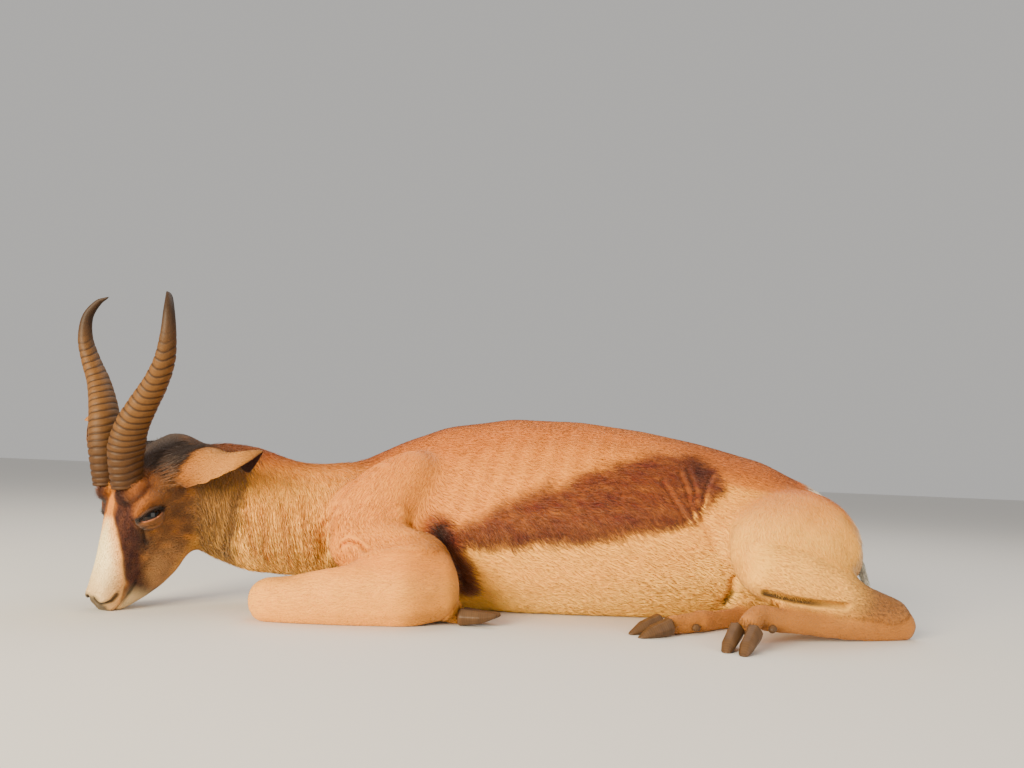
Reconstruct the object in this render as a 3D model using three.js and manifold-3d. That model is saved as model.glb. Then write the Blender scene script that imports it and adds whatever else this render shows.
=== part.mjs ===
// A springbok ram at life size. It lies on its belly with its legs folded, the trunk rolled a little onto
// its right side and the head turned to its left with the nose on the floor.
//
// Millimetres. +X runs from the head end to the tail, +Y towards the animal's right side and +Z up.
// The animal's left side faces -Y. The origin is on the floor under the trunk, where the belly is flat.
import * as THREE from 'three';
import { mergeVertices } from 'three/addons/utils/BufferGeometryUtils.js';
import Module from 'manifold-3d';

const wasm = await Module();
wasm.setup();

// Driving sizes
const GAP = 0.3; // left between neighbouring parts
const FLOOR_BLOCK = 800; // half length of the block that cuts the flats at z = 0
const HORN_BASE_RADIUS = 24;
const HORN_RINGED_SHARE = 0.72; // part of the horn's length that carries rings
const HORN_RING_COUNT = 8; // coarse rings, each for three of the real horn's
const EYE_RADIUS = 15.5;
const EAR_LENGTH = 130;
const EAR_WIDTH = 58;
const EAR_THICKNESS = 9;
const CLAW_LENGTH = 46;
const CLAW_HALF_WIDTH = 10;
const CLAW_HALF_HEIGHT = 12;
const DEWCLAW_RADII = [8, 5, 6];
const DEWCLAW_OFFSET = 10; // from the foot's middle line to each dewclaw
const DOME_RINGS = [42]; // degrees from a dome's tip at which its rings lie

// Pose of the head: where the midline meets the horn bases, how far it turns to the left of straight
// ahead, how far the face leans forward from plumb, and how far it leans sideways.
const HEAD_AT = [-485, -150, 162];
const HEAD_TURN = 55;
const HEAD_TILT = 17.5;
const HEAD_ROLL = 3;

// Colours, with the roughness of short hair, horn and a moist eye
const COAT_COLOUR = 0xc8935f;
const WHITE_COLOUR = 0xeae2d2;
const HORN_COLOUR = 0x5b4a3a;
const CLAW_COLOUR = 0x2e2824;
const EYE_COLOUR = 0x1a120d;
const HAIR_ROUGHNESS = 0.85;
const HORN_ROUGHNESS = 0.5;
const EYE_ROUGHNESS = 0.1;

const vector = (list) => new THREE.Vector3(...list);
const radians = THREE.MathUtils.degToRad;
const springbok = new THREE.Group();

// Solids and cuts

function solidOf(geometry) {
  const bare = geometry.clone();
  bare.deleteAttribute('normal');
  bare.deleteAttribute('uv');
  const merged = mergeVertices(bare, 1e-4);
  return new wasm.Manifold(new wasm.Mesh({
    numProp: 3,
    vertProperties: new Float32Array(merged.getAttribute('position').array),
    triVerts: new Uint32Array(merged.index.array),
  }));
}

function geometryOf(solid) {
  const mesh = solid.getMesh();
  const geometry = new THREE.BufferGeometry();
  geometry.setAttribute('position', new THREE.BufferAttribute(new Float32Array(mesh.vertProperties), 3));
  geometry.setIndex(new THREE.BufferAttribute(new Uint32Array(mesh.triVerts), 1));
  return geometry;
}

// The biggest separate piece of a solid, without slivers that a cut left behind.
function biggestPiece(solid) {
  return solid.decompose().sort((a, b) => b.volume() - a.volume())[0];
}

function ellipsoid(centre, radii, { axes, segments = [8, 6] } = {}) {
  const geometry = new THREE.SphereGeometry(1, ...segments);
  geometry.scale(...radii);
  if (axes) geometry.applyMatrix4(new THREE.Matrix4().makeBasis(...axes));
  geometry.translate(...centre);
  return geometry;
}

// Lofts

// A closed surface over rings of points, with one point that closes each end. The points of a ring turn
// clockwise as seen from the loft's start.
function closedLoft(rings, startPoint, endPoint) {
  const sides = rings[0].length;
  const points = [...rings.flat(), startPoint, endPoint];
  const start = points.length - 2;
  const end = points.length - 1;
  const last = (rings.length - 1) * sides;
  const index = [];
  for (let i = 0; i < sides; i += 1) {
    const next = (i + 1) % sides;
    index.push(start, i, next, end, last + next, last + i);
    for (let a = i, b = next; a < last; a += sides, b += sides) {
      index.push(a, b + sides, b, a, a + sides, b + sides);
    }
  }
  const geometry = new THREE.BufferGeometry().setFromPoints(points);
  geometry.setIndex(index);
  return geometry;
}

// The axes of a loft's section: "across" lies square to the tangent and to the hint, "upward" completes it.
function sectionAxes(tangent, upHint, leanDegrees = 0) {
  const flat = tangent.clone().cross(upHint).normalize();
  const rise = flat.clone().cross(tangent);
  const lean = radians(leanDegrees);
  return {
    across: flat.clone().multiplyScalar(Math.cos(lean)).addScaledVector(rise, Math.sin(lean)),
    upward: rise.clone().multiplyScalar(Math.cos(lean)).addScaledVector(flat, -Math.sin(lean)),
  };
}

// A closed tube through stations. Each station has its centre "at", its half width "side", its half
// height "up", and where needed "lean" in degrees away from the left side, "taper" (how much wider it is
// at the top than in the middle) and "square" (2 for an ellipse, more for a boxier section).
// Both ends close with a dome. "grow" makes the whole tube larger by that much all round.
function tube(stations, { sides = 10, steps = 5, upHint = [0, 0, 1], domes = [20, 20], grow = 0 } = {}) {
  const centres = new THREE.CatmullRomCurve3(stations.map((station) => vector(station.at)));
  const sizes = new THREE.CatmullRomCurve3(
    stations.map(({ side, up, lean = 0 }) => vector([side, up, lean])),
  );
  const forms = new THREE.CatmullRomCurve3(
    stations.map(({ taper = 0, square = 2 }) => vector([taper, square, 0])),
  );
  const domeEnd = (t, outward, reach) => (
    centres.getPoint(t).addScaledVector(centres.getTangent(t), outward * (reach + grow))
  );
  const ringAt = (t, shrink, centre) => {
    const size = sizes.getPoint(t);
    const form = forms.getPoint(t);
    const { across, upward } = sectionAxes(centres.getTangent(t), vector(upHint), size.z);
    const rounded = (value) => Math.sign(value) * Math.abs(value) ** (2 / form.y);
    return Array.from({ length: sides }, (_, i) => {
      const turn = (i / sides) * Math.PI * 2;
      const height = rounded(Math.sin(turn));
      const width = rounded(Math.cos(turn)) * (1 + form.x * height);
      return centre.clone()
        .addScaledVector(across, width * (size.x + grow) * shrink)
        .addScaledVector(upward, height * (size.y + grow) * shrink);
    });
  };
  const domeRing = (t, outward, reach) => (angle) => (
    ringAt(t, Math.sin(radians(angle)), domeEnd(t, outward * Math.cos(radians(angle)), reach))
  );
  const places = Array.from({ length: steps + 1 }, (_, step) => step / steps);
  const rings = [
    ...DOME_RINGS.map(domeRing(0, -1, domes[0])),
    ...places.map((t) => ringAt(t, 1, centres.getPoint(t))),
    ...[...DOME_RINGS].reverse().map(domeRing(1, 1, domes[1])),
  ];
  return closedLoft(rings, domeEnd(0, -1, domes[0]), domeEnd(1, 1, domes[1]));
}

// Head frame: F runs down the face to the nose, N out of the forehead, S to the animal's left.
function headAxes() {
  const turn = radians(HEAD_TURN);
  const tilt = radians(HEAD_TILT);
  const roll = radians(HEAD_ROLL);
  const ahead = vector([-Math.cos(turn), -Math.sin(turn), 0]);
  const up = vector([0, 0, 1]);
  const left = vector([Math.sin(turn), -Math.cos(turn), 0]);
  const face = ahead.clone().multiplyScalar(Math.sin(tilt)).addScaledVector(up, -Math.cos(tilt));
  const out = ahead.clone().multiplyScalar(Math.cos(tilt)).addScaledVector(up, Math.sin(tilt));
  const F = face.clone().multiplyScalar(Math.cos(roll)).addScaledVector(left, -Math.sin(roll));
  const S = left.clone().multiplyScalar(Math.cos(roll)).addScaledVector(face, Math.sin(roll));
  return { F, N: out, S };
}

const HEAD = headAxes();

function headPoint(f, n, s) {
  return vector(HEAD_AT).addScaledVector(HEAD.F, f).addScaledVector(HEAD.N, n).addScaledVector(HEAD.S, s);
}

// The parts of the body. Each "shape" function returns the uncut solid, larger by "grow" all round.

const TRUNK = [
  { at: [-236, -4, 94], side: 52, up: 58, lean: 5, taper: -0.1 },
  { at: [-190, 2, 110], side: 82, up: 96, lean: 8, taper: -0.12 },
  { at: [-130, 6, 117], side: 100, up: 122, lean: 13, taper: -0.15 },
  { at: [-50, 10, 127], side: 113, up: 141, lean: 20, taper: -0.12 },
  { at: [50, 14, 131], side: 122, up: 151, lean: 27, taper: -0.1 },
  { at: [150, 16, 128], side: 123, up: 148, lean: 31, taper: -0.08 },
  { at: [250, 16, 122], side: 112, up: 138, lean: 33, taper: -0.04 },
  { at: [340, 10, 115], side: 98, up: 122, lean: 34 },
  { at: [420, 6, 98], side: 84, up: 98, lean: 34 },
  { at: [478, 4, 80], side: 60, up: 66, lean: 30 },
];

const NECK = [
  { at: [-150, 8, 122], side: 76, up: 92 },
  { at: [-225, -22, 116], side: 66, up: 80 },
  { at: [-300, -54, 113], side: 57, up: 81 },
  { at: [-362, -66, 132], side: 50, up: 84 },
  { at: [-424, -72, 156], side: 42, up: 66 },
];

const TAIL = [
  { at: [472, 4, 140], side: 15, up: 12 },
  { at: [498, 0, 108], side: 13, up: 9 },
  { at: [513, -8, 66], side: 10, up: 7 },
  { at: [520, -16, 28], side: 9, up: 6 },
  { at: [536, -24, 9], side: 9, up: 7 },
  { at: [562, -30, 7], side: 8, up: 7 },
];

// Cross-sections of the head from the poll to the nose: the place along the face, the height of the top
// and of the underside above the face line, the half width, and how much wider the top is.
const HEAD_SECTIONS = [
  { f: -66, top: -30, bottom: -92, half: 36, taper: 0 },
  { f: -40, top: -8, bottom: -116, half: 43, taper: 0.05 },
  { f: 0, top: 1, bottom: -128, half: 46, taper: 0.1 },
  { f: 30, top: 1, bottom: -132, half: 43, taper: 0.22 },
  { f: 60, top: -2, bottom: -127, half: 36, taper: 0.2 },
  { f: 90, top: -5, bottom: -113, half: 30, taper: 0.14 },
  { f: 113, top: -9, bottom: -95, half: 27, taper: 0.06 },
  { f: 133.5, top: -14, bottom: -74, half: 26, taper: 0.02 },
  { f: 147.5, top: -20, bottom: -60, half: 21, taper: 0 },
];

// Rounded masses on each side of the head: place in the head frame and half sizes along its axes.
const HEAD_MASSES = [
  { at: [26, -28, 30], radii: [31, 22, 22] }, // rim of the eye socket
  { at: [26, -86, 22], radii: [46, 40, 22] }, // cheek muscle
  { at: [139, -33, 12], radii: [13, 13, 13] }, // wing of the nostril
];
const EYE_PLACE = [36, -31, 38];

function headShape(grow) {
  const axes = [HEAD.F, HEAD.N, HEAD.F.clone().cross(HEAD.N)];
  const stations = HEAD_SECTIONS.map(({ f, top, bottom, half, taper }) => ({
    at: headPoint(f, (top + bottom) / 2, 0).toArray(),
    side: half,
    up: (top - bottom) / 2,
    taper,
    square: 2.3,
  }));
  const upHint = HEAD.N.toArray();
  const core = solidOf(tube(stations, { sides: 14, steps: 9, upHint, domes: [16, 7], grow }));
  return [-1, 1].reduce((solid, side) => HEAD_MASSES.reduce((sum, { at: [f, n, s], radii }) => {
    const mass = ellipsoid(headPoint(f, n, s * side), radii.map((radius) => radius + grow), { axes });
    return sum.add(solidOf(mass));
  }, solid), core);
}

function eyeShape(side, grow) {
  const [f, n, s] = EYE_PLACE;
  return solidOf(ellipsoid(headPoint(f, n, s * side), Array(3).fill(EYE_RADIUS + grow)));
}

// Centre line of the left horn in the head frame: up and back from the brow, out to the side, and in
// again at the tip. The right horn mirrors it.
const HORN_LINE = [
  [10, 2, 23], [-28, 22, 24], [-57, 33, 32], [-85, 40, 49], [-111, 47, 69],
  [-137, 59, 90], [-163, 73, 101], [-190, 83, 99], [-210, 84, 86], [-217, 82, 74],
];
const HORN_SIDES = 8;
const HORN_STEPS = 22;
const HORN_SECTION = [0.92, 1.06]; // half width and depth of a section as shares of its radius
const HORN_RING_RELIEF = 0.05; // height of a ring as a share of the radius
const HORN_RING_FADE = 0.12; // share of the length over which the rings die out
const HORN_ENDS = [-4, 5]; // how far the middle of each end stands out past its last ring
const HORN_TAPER = 0.94; // share of the base radius lost at the tip
const HORN_FOOT = { loss: 0.27, reach: 0.14 }; // share of the radius lost at the skin, and how far up

function hornRadius(t) {
  const foot = 1 - HORN_FOOT.loss * Math.max(0, 1 - t / HORN_FOOT.reach);
  const taper = HORN_BASE_RADIUS * foot * (1 - HORN_TAPER * t);
  const ringed = THREE.MathUtils.clamp((HORN_RINGED_SHARE - t) / HORN_RING_FADE, 0, 1);
  const ring = Math.cos((t / HORN_RINGED_SHARE) * HORN_RING_COUNT * Math.PI * 2);
  return taper * (1 + HORN_RING_RELIEF * ringed * ring);
}

function hornShape(side, grow) {
  const line = new THREE.CatmullRomCurve3(HORN_LINE.map(([f, n, s]) => headPoint(f, n, s * side)));
  const rings = Array.from({ length: HORN_STEPS + 1 }, (_, step) => {
    const t = step / HORN_STEPS;
    const { across, upward } = sectionAxes(line.getTangent(t), HEAD.N);
    const radius = hornRadius(t) + grow;
    return Array.from({ length: HORN_SIDES }, (__, i) => {
      const turn = (i / HORN_SIDES) * Math.PI * 2;
      return line.getPoint(t)
        .addScaledVector(across, radius * HORN_SECTION[0] * Math.cos(turn))
        .addScaledVector(upward, radius * HORN_SECTION[1] * Math.sin(turn));
    });
  });
  const [start, end] = [0, 1].map((t) => line.getPoint(t).addScaledVector(line.getTangent(t), HORN_ENDS[t]));
  return solidOf(closedLoft(rings, start, end));
}

// An ear is a leaf: narrower at the root, widest at a third, pointed, and hollowed along its inner face.
// The root is in the head frame, "ahead" and "open" are the ways it points and its hollow faces.
const EARS = {
  left: { root: [-36, -34, 44], ahead: [1, -0.2, 0.13], open: [0, 0.8, -0.6] },
  right: { root: [-40, -34, -42], ahead: [-0.8, 0.36, 0.42], open: [-0.5, -0.6, -0.35] },
};
// Places along an ear with its half width there as a share of the largest.
const EAR_WIDTHS = [
  [0, 0.5], [0.12, 0.78], [0.28, 1], [0.45, 0.98], [0.62, 0.78], [0.8, 0.46], [0.94, 0.18],
];
const EAR_CURL = 0.22; // rise of the edges over the middle, as a share of the width
const EAR_ROOT_DEPTH = 8; // how far the root starts inside the head
const EAR_ROOT_SWELL = { most: 2.6, fall: 8 }; // thickness at the root in ear thicknesses, and its fall

function earShape({ root, ahead, open }, grow) {
  const base = headPoint(...root);
  const along = vector(ahead).normalize();
  const facing = vector(open).projectOnPlane(along).normalize();
  const across = along.clone().cross(facing);
  const stations = EAR_WIDTHS.map(([t, width]) => ({
    at: base.clone().addScaledVector(along, t * EAR_LENGTH - EAR_ROOT_DEPTH).toArray(),
    side: (EAR_WIDTH / 2) * width,
    up: (EAR_THICKNESS / 2) * Math.max(1, EAR_ROOT_SWELL.most - EAR_ROOT_SWELL.fall * t),
  }));
  const leaf = tube(stations, { sides: 8, steps: 6, upHint: facing.toArray(), domes: [6, 6], grow });
  const points = leaf.getAttribute('position');
  for (let i = 0; i < points.count; i += 1) {
    const point = new THREE.Vector3().fromBufferAttribute(points, i);
    const offset = point.clone().sub(base);
    const t = THREE.MathUtils.clamp(offset.dot(along) / EAR_LENGTH, 0, 1);
    const share = offset.dot(across) / (EAR_WIDTH / 2);
    point.addScaledVector(facing, EAR_CURL * EAR_WIDTH * share * share * Math.sin(Math.PI * t));
    points.setXYZ(i, ...point);
  }
  return solidOf(leaf);
}

// Limb segments from joint to joint. The left foreleg lies outside the brisket with its cannon folded back
// under it; the left hind leg shows its foot. The right legs are tucked under the trunk.
const LIMBS = {
  left_shoulder: {
    stations: [
      { at: [-112, -54, 182], side: 46, up: 30 },
      { at: [-160, -80, 150], side: 52, up: 36 },
      { at: [-202, -98, 112], side: 48, up: 34 },
    ],
    upHint: [0.2, -1, 0.3],
    steps: 4,
    domes: [22, 26],
  },
  left_upper_arm: {
    stations: [
      { at: [-206, -106, 94], side: 38, up: 32 },
      { at: [-150, -127, 78], side: 48, up: 38 },
      { at: [-90, -144, 62], side: 42, up: 34 },
    ],
    upHint: [0.2, -1, 0.3],
    steps: 4,
    domes: [24, 20],
  },
  left_forearm: {
    stations: [
      { at: [-72, -156, 50], side: 32, up: 44 },
      { at: [-124, -168, 42], side: 32, up: 46 },
      { at: [-198, -176, 33.5], side: 26, up: 36.5 },
      { at: [-256, -176, 26.5], side: 22, up: 29.5 },
      { at: [-290, -172, 24.5], side: 22, up: 27.5 },
    ],
    steps: 4,
    domes: [18, 20],
  },
  left_front_cannon: {
    stations: [
      { at: [-298, -150, 17.5], side: 17, up: 19 },
      { at: [-250, -140, 17], side: 12, up: 16 },
      { at: [-160, -130, 16], side: 11, up: 14 },
      { at: [-112, -128, 18], side: 15, up: 17 },
    ],
    sides: 8,
    steps: 3,
    domes: [8, 10],
  },
  left_front_pastern: {
    stations: [
      { at: [-104, -130, 15], side: 14, up: 15 },
      { at: [-76, -138, 14], side: 12, up: 13 },
      { at: [-52, -144, 13.5], side: 15, up: 15 },
    ],
    sides: 8,
    steps: 2,
    domes: [6, 1],
  },
  right_shoulder: {
    stations: [
      { at: [-112, 74, 170], side: 44, up: 28 },
      { at: [-158, 88, 136], side: 50, up: 32 },
      { at: [-196, 92, 98], side: 46, up: 32 },
    ],
    upHint: [0.2, 1, 0.3],
    steps: 4,
    domes: [22, 26],
  },
  right_upper_arm: {
    stations: [
      { at: [-200, 96, 82], side: 36, up: 30 },
      { at: [-142, 112, 66], side: 44, up: 34 },
      { at: [-86, 126, 54], side: 38, up: 30 },
    ],
    upHint: [0.2, 1, 0.3],
    steps: 4,
    domes: [24, 20],
  },
  right_forearm: {
    stations: [
      { at: [-60, 136, 44], side: 30, up: 40 },
      { at: [-116, 142, 37.5], side: 30, up: 40.5 },
      { at: [-195, 140, 29.5], side: 25, up: 32.5 },
      { at: [-252, 134, 24], side: 21, up: 27 },
      { at: [-288, 126, 22.5], side: 21, up: 25.5 },
    ],
    steps: 4,
    domes: [18, 20],
  },
  right_front_cannon: {
    stations: [
      { at: [-286, 104, 16.5], side: 17, up: 18 },
      { at: [-240, 98, 16], side: 12, up: 15 },
      { at: [-152, 92, 15], side: 11, up: 14 },
      { at: [-104, 92, 17], side: 15, up: 16 },
    ],
    sides: 8,
    steps: 3,
    domes: [8, 10],
  },
  right_front_pastern: {
    stations: [
      { at: [-96, 94, 15], side: 14, up: 15 },
      { at: [-68, 100, 14], side: 12, up: 13 },
      { at: [-44, 106, 13.5], side: 15, up: 15 },
    ],
    sides: 8,
    steps: 2,
    domes: [6, 1],
  },
  left_thigh: {
    stations: [
      { at: [430, -40, 140], side: 66, up: 46 },
      { at: [396, -86, 114], side: 86, up: 56 },
      { at: [354, -126, 94], side: 81, up: 52 },
      { at: [318, -156, 82], side: 56, up: 40 },
    ],
    upHint: [0, -0.85, 0.5],
    steps: 4,
    domes: [24, 24],
  },
  left_gaskin: {
    stations: [
      { at: [308, -166, 86], side: 34, up: 34 },
      { at: [360, -162, 76], side: 34, up: 36 },
      { at: [420, -152, 58], side: 25, up: 27 },
      { at: [465, -140, 44], side: 17, up: 20 },
      { at: [500, -130, 32], side: 15, up: 18 },
    ],
    steps: 4,
    domes: [18, 16],
  },
  left_hind_cannon: {
    stations: [
      { at: [512, -126, 18.5], side: 15, up: 20 },
      { at: [465, -142, 15.8], side: 12, up: 17 },
      { at: [395, -166, 20], side: 11, up: 15 },
      { at: [330, -188, 28], side: 13, up: 16 },
      { at: [306, -197, 32], side: 15, up: 17 },
    ],
    sides: 8,
    steps: 4,
    domes: [14, 10],
  },
  left_hind_pastern: {
    stations: [
      { at: [302, -200, 34], side: 14, up: 16 },
      { at: [291, -212, 31], side: 13, up: 14 },
      { at: [282, -222, 24], side: 15, up: 15 },
    ],
    sides: 8,
    steps: 3,
    domes: [8, 5],
  },
  right_thigh: {
    stations: [
      { at: [420, 66, 104], side: 62, up: 44 },
      { at: [372, 96, 79.5], side: 84, up: 48 },
      { at: [308, 124, 57.5], side: 74, up: 42 },
      { at: [256, 142, 43.5], side: 46, up: 34 },
    ],
    upHint: [0, 0.8, 0.6],
    steps: 4,
    domes: [24, 20],
  },
  right_gaskin: {
    stations: [
      { at: [238, 140, 31.5], side: 30, up: 34 },
      { at: [282, 96, 29.5], side: 30, up: 32 },
      { at: [340, 40, 22], side: 20, up: 24 },
      { at: [388, -10, 18], side: 16, up: 20 },
    ],
    domes: [16, 14],
  },
  right_hind_cannon: {
    stations: [
      { at: [388, -26, 16.8], side: 15, up: 18 },
      { at: [340, -62, 14], side: 12, up: 15 },
      { at: [280, -108, 12], side: 11, up: 13 },
      { at: [246, -134, 14], side: 14, up: 15 },
    ],
    sides: 8,
    steps: 4,
    domes: [12, 10],
  },
  right_hind_pastern: {
    stations: [
      { at: [238, -139, 13], side: 13, up: 14 },
      { at: [218, -150, 11.5], side: 12, up: 12 },
      { at: [204, -158, 12], side: 14, up: 13 },
    ],
    sides: 8,
    steps: 2,
    domes: [6, 1],
  },
};

// Feet: where the claws start, which way the toe points, which way the front of the foot faces, and where
// the fetlock is, behind which the two dewclaws sit.
const FEET = {
  left_front: {
    coronet: [-50, -145, 9.5],
    toe: [1, -0.2, -0.1],
    front: [0, -0.1, -1],
    fetlock: [-100, -131, 29],
  },
  right_front: {
    coronet: [-42, 107, 9.5],
    toe: [1, 0.2, -0.1],
    front: [0, 0.1, -1],
    fetlock: [-92, 95, 28],
  },
  left_hind: {
    coronet: [279, -225, 21],
    toe: [-0.56, -0.7, -0.36],
    front: [-0.3, -0.3, 0.9],
    fetlock: [305, -209, 22],
  },
  right_hind: {
    coronet: [200, -160, 13],
    toe: [-0.9, -0.4, -0.1],
    front: [-0.1, -0.1, 1],
    fetlock: [236, -142, 9],
  },
};
// A claw's sections: place along it, then half width and half height as shares of the largest.
const CLAW_SECTIONS = [[0, 1, 1], [0.38, 1.02, 0.86], [0.74, 0.86, 0.56], [0.96, 0.5, 0.28]];
const CLAW_SPREAD = 1.1; // half widths from the foot's middle line to a claw's
const CLAW_CLOSING = 0.08; // share of that spread lost towards the toe

function footAxes({ toe, front }) {
  const forward = vector(toe).normalize();
  const up = vector(front).projectOnPlane(forward).normalize();
  return { forward, up, outward: forward.clone().cross(up) };
}

// A claw keeps its sole straight: each section drops by what its half height loses.
function clawShape(foot, side, grow) {
  const { forward, up, outward } = footAxes(foot);
  const stations = CLAW_SECTIONS.map(([t, width, height]) => ({
    at: vector(foot.coronet)
      .addScaledVector(outward, side * CLAW_SPREAD * CLAW_HALF_WIDTH * (1 - CLAW_CLOSING * t))
      .addScaledVector(forward, t * CLAW_LENGTH)
      .addScaledVector(up, (height - 1) * CLAW_HALF_HEIGHT)
      .toArray(),
    side: CLAW_HALF_WIDTH * width,
    up: CLAW_HALF_HEIGHT * height,
  }));
  return solidOf(tube(stations, { sides: 6, steps: 2, upHint: up.toArray(), domes: [3, 3], grow }));
}

function dewclawShape(foot, side, grow) {
  const { forward, up, outward } = footAxes(foot);
  const centre = vector(foot.fetlock).addScaledVector(outward, side * DEWCLAW_OFFSET);
  const radii = DEWCLAW_RADII.map((radius) => radius + grow);
  return solidOf(ellipsoid(centre, radii, { axes: [forward, up, outward], segments: [5, 4] }));
}

// Assembly. Each part is cut by all parts before it, so the order says whose surface shows where two meet.
// What is left below the floor is cut away, so that everything that touches it rests on a flat.

const materials = {
  coat: { color: COAT_COLOUR, roughness: HAIR_ROUGHNESS },
  white: { color: WHITE_COLOUR, roughness: HAIR_ROUGHNESS },
  horn: { color: HORN_COLOUR, roughness: HORN_ROUGHNESS },
  claw: { color: CLAW_COLOUR, roughness: HORN_ROUGHNESS },
  eye: { color: EYE_COLOUR, roughness: EYE_ROUGHNESS },
};

const parts = [];
const addPart = (name, look, shape) => parts.push({ name, look, shape });
const SIDE_NAMES = { left: 1, right: -1 };
const CLAW_NAMES = { outer: 1, inner: -1 };

Object.entries(SIDE_NAMES).forEach(([name, side]) => {
  addPart(`${name}_eye`, 'eye', (grow) => eyeShape(side, grow));
  addPart(`${name}_horn`, 'horn', (grow) => hornShape(side, grow));
});
addPart('head', 'coat', headShape);
Object.keys(SIDE_NAMES).forEach((name) => {
  addPart(`${name}_ear`, 'coat', (grow) => earShape(EARS[name], grow));
});
Object.entries(FEET).forEach(([name, foot]) => {
  Object.entries(CLAW_NAMES).forEach(([place, side]) => {
    addPart(`${name}_${place}_claw`, 'claw', (grow) => clawShape(foot, side, grow));
    addPart(`${name}_${place}_dewclaw`, 'claw', (grow) => dewclawShape(foot, side, grow));
  });
});
const addTube = (name, look, stations, options) => (
  addPart(name, look, (grow) => solidOf(tube(stations, { ...options, grow })))
);
Object.entries(LIMBS).reverse().forEach(([name, { stations, ...options }]) => {
  addTube(name, 'coat', stations, options);
});
addTube('tail', 'white', TAIL, { sides: 6, steps: 7, upHint: [1, 0, 0.3], domes: [8, 8] });
addTube('trunk', 'coat', TRUNK, { sides: 18, steps: 10, domes: [22, 24] });
addTube('neck', 'coat', NECK, { sides: 12, domes: [20, 16] });

const belowFloor = solidOf(
  new THREE.BoxGeometry(2 * FLOOR_BLOCK, 2 * FLOOR_BLOCK, FLOOR_BLOCK).translate(0, 0, -FLOOR_BLOCK / 2),
);
const cutters = [belowFloor];
parts.forEach(({ name, look, shape }) => {
  const cut = cutters.reduce((solid, cutter) => solid.subtract(cutter), shape(0));
  const mesh = new THREE.Mesh(
    geometryOf(biggestPiece(cut)),
    new THREE.MeshStandardMaterial({ ...materials[look], metalness: 0 }),
  );
  mesh.name = name;
  springbok.add(mesh);
  cutters.push(shape(GAP));
});

export default springbok;
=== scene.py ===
# A springbok ram at life size, lying on its belly: skin, coat, eyes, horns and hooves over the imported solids.
# Metres. +X runs from the head end to the tail, +Y to the animal's right side and +Z up. The animal's left
# side faces the camera, at -Y.
import math

import bmesh
import bpy
import numpy as np
from mathutils import Matrix, Vector
from mathutils.bvhtree import BVHTree


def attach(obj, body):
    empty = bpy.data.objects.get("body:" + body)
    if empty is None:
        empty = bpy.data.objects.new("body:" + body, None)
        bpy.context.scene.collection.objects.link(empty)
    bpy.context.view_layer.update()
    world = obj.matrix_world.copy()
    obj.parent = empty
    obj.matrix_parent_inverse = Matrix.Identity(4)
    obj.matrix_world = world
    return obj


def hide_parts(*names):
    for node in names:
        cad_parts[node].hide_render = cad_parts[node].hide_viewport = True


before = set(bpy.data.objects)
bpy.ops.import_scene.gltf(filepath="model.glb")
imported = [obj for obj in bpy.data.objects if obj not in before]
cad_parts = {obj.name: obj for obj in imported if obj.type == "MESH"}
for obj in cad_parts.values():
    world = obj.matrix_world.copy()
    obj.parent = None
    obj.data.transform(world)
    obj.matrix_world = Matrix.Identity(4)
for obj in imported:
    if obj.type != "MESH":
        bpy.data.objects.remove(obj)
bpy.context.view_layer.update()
random = np.random.default_rng(7)
MM = 0.001


# Camera

CAMERA_AT = Vector((0.0, -1.13, 0.19))
CAMERA_RISE = math.radians(6.52)
CAMERA_ROLL = math.radians(2.4)
FOCAL_LENGTH_IN_PIXELS = 770
PICTURE_WIDTH_IN_PIXELS = 1024
SENSOR_WIDTH_MM = 36


def make_camera():
    data = bpy.data.cameras.new("camera")
    data.sensor_width = SENSOR_WIDTH_MM
    data.lens = SENSOR_WIDTH_MM * FOCAL_LENGTH_IN_PIXELS / PICTURE_WIDTH_IN_PIXELS
    camera = bpy.data.objects.new("camera", data)
    forward = Vector((0, math.cos(CAMERA_RISE), math.sin(CAMERA_RISE)))
    level = Vector((1, 0, 0))
    rise = Vector((0, -math.sin(CAMERA_RISE), math.cos(CAMERA_RISE)))
    right = math.cos(CAMERA_ROLL) * level + math.sin(CAMERA_ROLL) * rise
    up = math.cos(CAMERA_ROLL) * rise - math.sin(CAMERA_ROLL) * level
    camera.matrix_world = Matrix.Translation(CAMERA_AT) @ Matrix((right, up, -forward)).transposed().to_4x4()
    bpy.context.scene.collection.objects.link(camera)
    bpy.context.scene.camera = camera


make_camera()


# Places on the animal

# Head frame: F runs down the face to the nose, N out of the forehead, S to the animal's left. Its origin
# is on the midline between the horn bases.
HEAD_AT = np.array([-0.485, -0.150, 0.162])
HEAD_TURN = math.radians(55)
HEAD_TILT = math.radians(17.5)
HEAD_ROLL = math.radians(3)
SIDES = {"left": 1, "right": -1}


def head_axes():
    ahead = np.array([-math.cos(HEAD_TURN), -math.sin(HEAD_TURN), 0])
    up = np.array([0, 0, 1])
    left = np.array([math.sin(HEAD_TURN), -math.cos(HEAD_TURN), 0])
    face = ahead * math.sin(HEAD_TILT) - up * math.cos(HEAD_TILT)
    out = ahead * math.cos(HEAD_TILT) + up * math.sin(HEAD_TILT)
    down_face = face * math.cos(HEAD_ROLL) - left * math.sin(HEAD_ROLL)
    to_left = left * math.cos(HEAD_ROLL) + face * math.sin(HEAD_ROLL)
    return np.array([down_face, out, to_left])


HEAD_AXES = head_axes()


def head_place(points):
    """World points in the head frame, in millimetres."""
    return (points - HEAD_AT) @ HEAD_AXES.T / MM


def on_side(places, side):
    """Places in the head frame that are given for the left side, on the side wanted."""
    return np.asarray(places, float) * [1, 1, side]


def head_world(places, side=1):
    """Places of the head frame in the world, on the side wanted."""
    return HEAD_AT + on_side(places, side) * MM @ HEAD_AXES


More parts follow.
